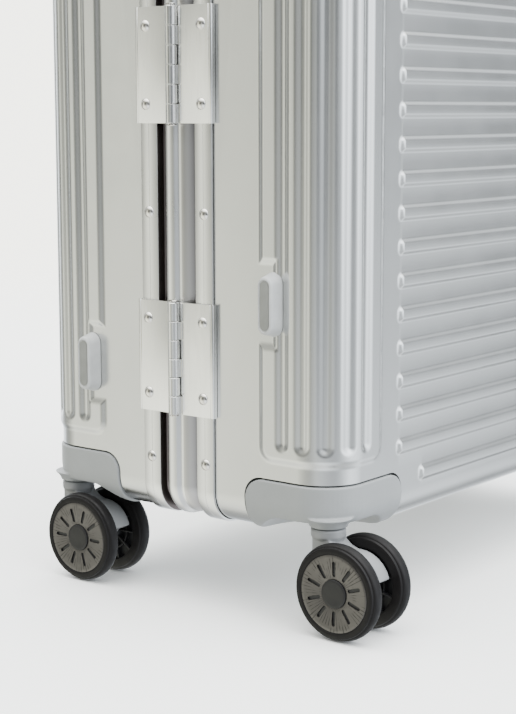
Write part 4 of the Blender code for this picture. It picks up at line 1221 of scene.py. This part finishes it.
def build_pull_handle():
    low, high = in_case("pull_handle_bezel")
    y = (low.y + high.y) / 2
    half = (high.x, (high.y - low.y) / 2)
    outer = rounded_rectangle(*half, 0.0040, 8)
    inner = rounded_rectangle(half[0] - 0.0045, half[1] - 0.0035, 0.0025, 8)
    lip = rounded_rectangle(half[0] - 0.0007, half[1] - 0.0007, 0.0036, 8)
    soft = rounded_rectangle(half[0] - 0.0038, half[1] - 0.0028, 0.0028, 8)
    tray_floor = 0.5235
    rings = [raised(points, z, y=y) for points, z in (
        (outer, low.z), (outer, TOP + 0.0004), (outer, high.z - 0.0008), (lip, high.z), (soft, high.z),
        (inner, high.z - 0.0008), (inner, tray_floor))]
    tray = loft(rings)
    bores = []
    for node in SIDES:
        x = centre_of(f"pull_handle_inner_tube_{node}").x
        bores.append([(x + p, y + q) for p, q in rounded_rectangle(0.0083, 0.0038, 0.0030, 6)])
        tray = cut(tray, extruded(bores[-1], low.z - 0.01, high.z))
    finish_piece(tray, "pull_handle_bezel_tray", "back_half", HANDLE_PLASTIC,
                 ["pull_handle_bezel"])
    for node in SIDES:
        for kind, body, size, bore, corner in (
                ("outer", "back_half", (0.0105, 0.0055), (0.0083, 0.0038), 0.0040),
                ("inner", "pull_handle", (0.0080, 0.0035), (0.0066, 0.0021), 0.0028)):
            name = f"pull_handle_{kind}_tube_{node}"
            t_low, t_high = in_case(name)
            tube = hollow_tube(size, bore, corner, centre_of(name).x, y, t_low.z, t_high.z)
            finish_piece(tube, f"{name}_section", body, TUBE_METAL, [name], 40)
    g_low, g_high = in_case("pull_handle_grip")
    section = rounded_rectangle((g_high.y - g_low.y) / 2 - 0.0002, 0.0128, 0.0058, 8)
    middle_z = (g_low.z + g_high.z) / 2
    rows, steps = [], 40
    for i in range(steps + 1):
        t = -1 + 2 * i / steps
        x = t * (g_high.x - 0.0003)
        end = 1 - 0.22 * max(0.0, (abs(t) - 0.93) / 0.07) ** 2
        under = 0.0078 * smooth_step((0.66 - abs(t)) / 0.05)
        lifted = [(p, q if q > 0 else q * (1 - under / 0.0128)) for p, q in section]
        rows.append([(x, y + p * end, middle_z + q * end) for p, q in lifted])
    grip = moulded(loft(rows), 0.0007, 2)
    tube_top = in_case("pull_handle_inner_tube_left")[1].z
    for bore in bores:
        grip = cut(grip, extruded(bore, g_low.z - 0.01, tube_top + 0.0003))
    b_low, b_high = in_case("pull_handle_button")
    pocket = [(p, y + q) for p, q in rounded_rectangle(b_high.x + 0.0004, 0.0054, 0.0030, 8)]
    grip = cut(grip, extruded(pocket, g_high.z - 0.008, g_high.z + 0.01))
    finish_piece(grip, "pull_handle_grip_moulding", "pull_handle", HANDLE_PLASTIC,
                 ["pull_handle_grip"], 40)
    rings = []
    for inset, z in ((0.0, b_low.z), (0.0, b_high.z - 0.0009), (0.0002, b_high.z - 0.0004),
                     (0.0007, b_high.z - 0.0001), (0.0014, b_high.z)):
        rings.append(raised(rounded_rectangle(b_high.x - inset, 0.005 - inset, 0.0029 - inset, 8), z, y=y))
    finish_piece(loft(rings), "pull_handle_button_cap", "pull_button", BUTTON_PLASTIC,
                 ["pull_handle_button"], 40)


# --- Linings

def lining_mesh(bulge):
    """Fabric lining of the front half; bulge(x, z) moves its wide face inwards, over what it covers."""
    start = 0.0232
    inset_out = WALL + 0.0006
    reach = EDGE_RADIUS - inset_out
    half = [-(HALF_DEPTH - CORNER_RADIUS - start)] + spaced(0, CORNER_ARC, 0.004)
    half += spaced(CORNER_ARC, TO_MIDDLE, 0.0045)[1:]
    heights = spaced(WALL_LOW, WALL_HIGH, 0.0045)
    low = [(EDGE_RADIUS - reach * math.sin(t), BOTTOM + EDGE_RADIUS - reach * math.cos(t)) for t in
           (math.pi / 2 * i / 6 for i in range(7))]
    levels = low + [(inset_out, z) for z in heights[1:-1]]
    levels += [(inset, BOTTOM + TOP - z) for inset, z in reversed(low)]
    bm = bmesh.new()
    for sign in (1, -1):
        rows = []
        for inset, z in levels:
            row = []
            for s in half:
                (x, y), out = outline_point(s, inset)
                row.append((sign * x, y + bulge(sign * x, z) * (1 if s > CORNER_ARC * 0.9 else 0), z))
            rows.append(row)
        grid(bm, rows)
    for upper in (False, True):
        inset, z = levels[-1] if upper else levels[0]
        left = [outline_point(s, inset)[0] for s in half]
        left = [(x, y + bulge(x, z) * (1 if s > CORNER_ARC * 0.9 else 0)) for (x, y), s in zip(left, half)]
        ring = left + [(-x, y) for x, y in reversed(left) if x < -1e-9]
        bm.faces.new([bm.verts.new((x, y, z)) for x, y in ring])
    mesh = mesh_from(bm, weld=2e-6)
    mesh = with_modifier(mesh, "SOLIDIFY", thickness=0.0006, offset=-1.0)
    left = corner_block(0.0006)
    return cut(mesh, left, mirrored(left, x=-1))


def handle_bulge(x, z):
    """Room in the back lining for the pull handle's tubes and its tray."""
    tubes = [centre_of(f"pull_handle_outer_tube_{side}").x for side in SIDES]
    depth = 0.0
    for tube in tubes:
        depth = max(depth, 0.0262 * smooth_step((0.0215 - abs(x - tube)) / 0.0085))
    low, high = in_case("pull_handle_bezel")
    tray = min((high.x + 0.0085 - abs(x)) / 0.0075, (z - low.z + 0.0085) / 0.0075)
    return max(depth, 0.0342 * smooth_step(tray))


def build_linings():
    for half, body, sy in HALVES:
        mesh = lining_mesh(handle_bulge if sy > 0 else lambda x, z: 0.0)
        if sy > 0:
            mesh = mirrored(mesh, y=-1)
        finish_piece(mesh, f"lining_{half}_fabric", body, LINING, [f"lining_{half}"], 60)


def strap_mesh(width, thickness, half_length, sag):
    """A woven band along X that hangs a little in its middle."""
    rings = []
    for i in range(33):
        x = half_length * (-1 + i / 16)
        drop = -sag * math.cos(math.pi / 2 * x / half_length)
        section = rounded_rectangle(thickness / 2, width / 2, thickness * 0.45, 3)
        rings.append([(x, p + drop * 0.3, q + drop) for p, q in section])
    return loft(rings)


def buckle_mesh():
    """A side release buckle: a frame with two bars and a tongue with its two prongs."""
    parts = [block((-0.024, -0.0035, -0.017), (0.004, 0.0035, 0.017), 0.0028, 4),
             block((0.006, -0.0028, -0.015), (0.024, 0.0028, 0.015), 0.0024, 4),
             block((0.000, -0.0020, 0.0125), (0.009, 0.0020, 0.0158), 0.0012, 3),
             block((0.000, -0.0020, -0.0158), (0.009, 0.0020, -0.0125), 0.0012, 3),
             block((-0.004, -0.0016, -0.004), (0.010, 0.0016, 0.004), 0.0012, 3)]
    slots = [block((x, -0.01, -0.0125), (x + 0.0035, 0.01, 0.0125), 0.0010, 2) for x in (-0.021, 0.0175)]
    frame_part, tongue = cut(parts[0], slots[0]), cut(parts[1], slots[1])
    return joined([frame_part, tongue] + parts[2:])


def build_straps():
    """Two packing straps across each half, anchored in stitched tabs at the sides."""
    half_length = HALF_WIDTH - WALL - 0.0020
    strap = strap_mesh(0.025, 0.0014, half_length, 0.004)
    tab = block((-0.0010, -0.012, -0.017), (0.0010, 0.012, 0.017), 0.0008, 2)
    buckle = buckle_mesh()
    for half, body, sy in HALVES:
        y = sy * 0.069
        for which, z in (("lower", MIDDLE_Z - 0.125), ("upper", MIDDLE_Z + 0.125)):
            place = Matrix.Translation((0, y, z))
            tabs = [moved(tab, place @ Matrix.Translation((side * (half_length - 0.0012), 0, 0)))
                    for side in (-1, 1)]
            finish_piece(joined([moved(strap, place)] + tabs), f"strap_{half}_{which}", body, LINING,
                         angle=45)
            finish_piece(moved(buckle, place @ Matrix.Translation((0, -0.0012, -0.004))),
                         f"strap_{half}_{which}_buckle", body, BUTTON_PLASTIC, angle=40)


# --- Studio

def build_studio():
    """The surround: brightness by yaw at three heights, with a tone straight up and one straight down.

    The picture's own backdrop is one even tone.
    """
    world = bpy.data.worlds.new("studio")
    bpy.context.scene.world = world
    world.use_nodes = True
    nodes, links = world.node_tree.nodes, world.node_tree.links
    nodes.clear()

    def node(kind, **settings):
        made = nodes.new(kind)
        for key, value in settings.items():
            setattr(made, key, value)
        return made

    def span(source, low, high):
        made = node("ShaderNodeMapRange")
        made.inputs["From Min"].default_value = low
        made.inputs["From Max"].default_value = high
        links.new(source, made.inputs["Value"])
        return made.outputs["Result"]

    def blend(share, low, high):
        made = node("ShaderNodeMix", data_type="RGBA")
        links.new(share, made.inputs[0])
        for socket, value in ((6, low), (7, high)):
            if isinstance(value, tuple):
                made.inputs[socket].default_value = (*value, 1)
            else:
                links.new(value, made.inputs[socket])
        return made.outputs[2]

    coordinates = node("ShaderNodeTexCoord")
    split = node("ShaderNodeSeparateXYZ")
    links.new(coordinates.outputs["Generated"], split.inputs["Vector"])
    yaw = node("ShaderNodeMath", operation="ARCTAN2")
    links.new(split.outputs["X"], yaw.inputs[0])
    links.new(split.outputs["Y"], yaw.inputs[1])
    turn = span(yaw.outputs[0], -math.pi, math.pi)
    rise = node("ShaderNodeMath", operation="ARCSINE")
    links.new(split.outputs["Z"], rise.inputs[0])
    rings = []
    for tones in (TONES_BELOW, TONES_LEVEL, TONES_ABOVE):
        ramp = node("ShaderNodeValToRGB")
        elements = ramp.color_ramp.elements
        elements.remove(elements[1])
        closed = tones + tones[:1]
        for i, tone in enumerate(closed):
            at = i / (len(closed) - 1)
            element = elements[0] if i == 0 else elements.new(at)
            element.position = at
            share = max(0.0, math.cos(2 * math.pi * at - math.radians(180 - 52))) ** 2
            element.color = (*(tone * (c + (w - c) * share) for c, w in zip(COOL, WARM)), 1)
        links.new(turn, ramp.inputs["Fac"])
        rings.append(ramp.outputs["Color"])
    ring = math.radians(30)
    tone = blend(span(rise.outputs[0], -math.pi / 2, -ring), NADIR, rings[0])
    tone = blend(span(rise.outputs[0], -ring, 0), tone, rings[1])
    tone = blend(span(rise.outputs[0], 0, ring), tone, rings[2])
    tone = blend(span(rise.outputs[0], ring, math.pi / 2), tone, ZENITH)
    surround = node("ShaderNodeBackground")
    links.new(tone, surround.inputs["Color"])
    backdrop = node("ShaderNodeBackground")
    backdrop.inputs["Color"].default_value = BACKDROP
    backdrop.inputs["Strength"].default_value = BACKDROP_STRENGTH
    path = node("ShaderNodeLightPath")
    mix = node("ShaderNodeMixShader")
    links.new(path.outputs["Is Camera Ray"], mix.inputs["Fac"])
    links.new(surround.outputs[0], mix.inputs[1])
    links.new(backdrop.outputs[0], mix.inputs[2])
    output = node("ShaderNodeOutputWorld")
    links.new(mix.outputs[0], output.inputs["Surface"])




def build_floor():
    bpy.ops.mesh.primitive_circle_add(vertices=96, radius=2.6, fill_type="NGON")
    floor = bpy.context.object
    floor.name = "floor"
    material = bpy.data.materials.new("pale_floor")
    material.use_nodes = True
    tree = material.node_tree
    nodes, links = tree.nodes, tree.links
    shader = nodes["Principled BSDF"]
    shader.inputs["Base Color"].default_value = FLOOR_COLOUR
    shader.inputs["Roughness"].default_value = 0.7
    clear = nodes.new("ShaderNodeBsdfTransparent")
    coordinates = nodes.new("ShaderNodeTexCoord")
    length = nodes.new("ShaderNodeVectorMath")
    length.operation = "LENGTH"
    links.new(coordinates.outputs["Object"], length.inputs[0])
    fade = nodes.new("ShaderNodeMapRange")
    fade.interpolation_type = "SMOOTHSTEP"
    fade.inputs["From Min"].default_value = 0.55
    fade.inputs["From Max"].default_value = 2.4
    links.new(length.outputs["Value"], fade.inputs["Value"])
    mix = nodes.new("ShaderNodeMixShader")
    links.new(fade.outputs["Result"], mix.inputs["Fac"])
    links.new(shader.outputs[0], mix.inputs[1])
    links.new(clear.outputs[0], mix.inputs[2])
    links.new(mix.outputs[0], nodes["Material Output"].inputs["Surface"])
    floor.data.materials.append(material)
    floor.visible_glossy = floor.visible_diffuse = False  # the surround lights the case from below instead




def build_camera():
    """The photograph's view: low, from the hinge side corner of the front half."""
    data = bpy.data.cameras.new("camera")
    data.sensor_width = 36
    data.lens = 81.42
    data.clip_start, data.clip_end = 0.05, 100
    camera = bpy.data.objects.new("camera", data)
    bpy.context.scene.collection.objects.link(camera)
    camera.location = Vector((-0.8452, -0.5770, 0.2724)) + CASE
    yaw, pitch, roll = math.radians(51.79), math.radians(8.62), math.radians(0.11)
    camera.rotation_euler = (math.pi / 2 - pitch, roll, -yaw)
    bpy.context.scene.camera = camera


# --- The whole

build_camera()
build_studio()
build_floor()
build_shells()
build_frames()
build_hinges()
build_rivets()
build_feet()
build_casters()
build_carry_handles()
build_latches()
build_pull_handle()
build_linings()
build_straps()
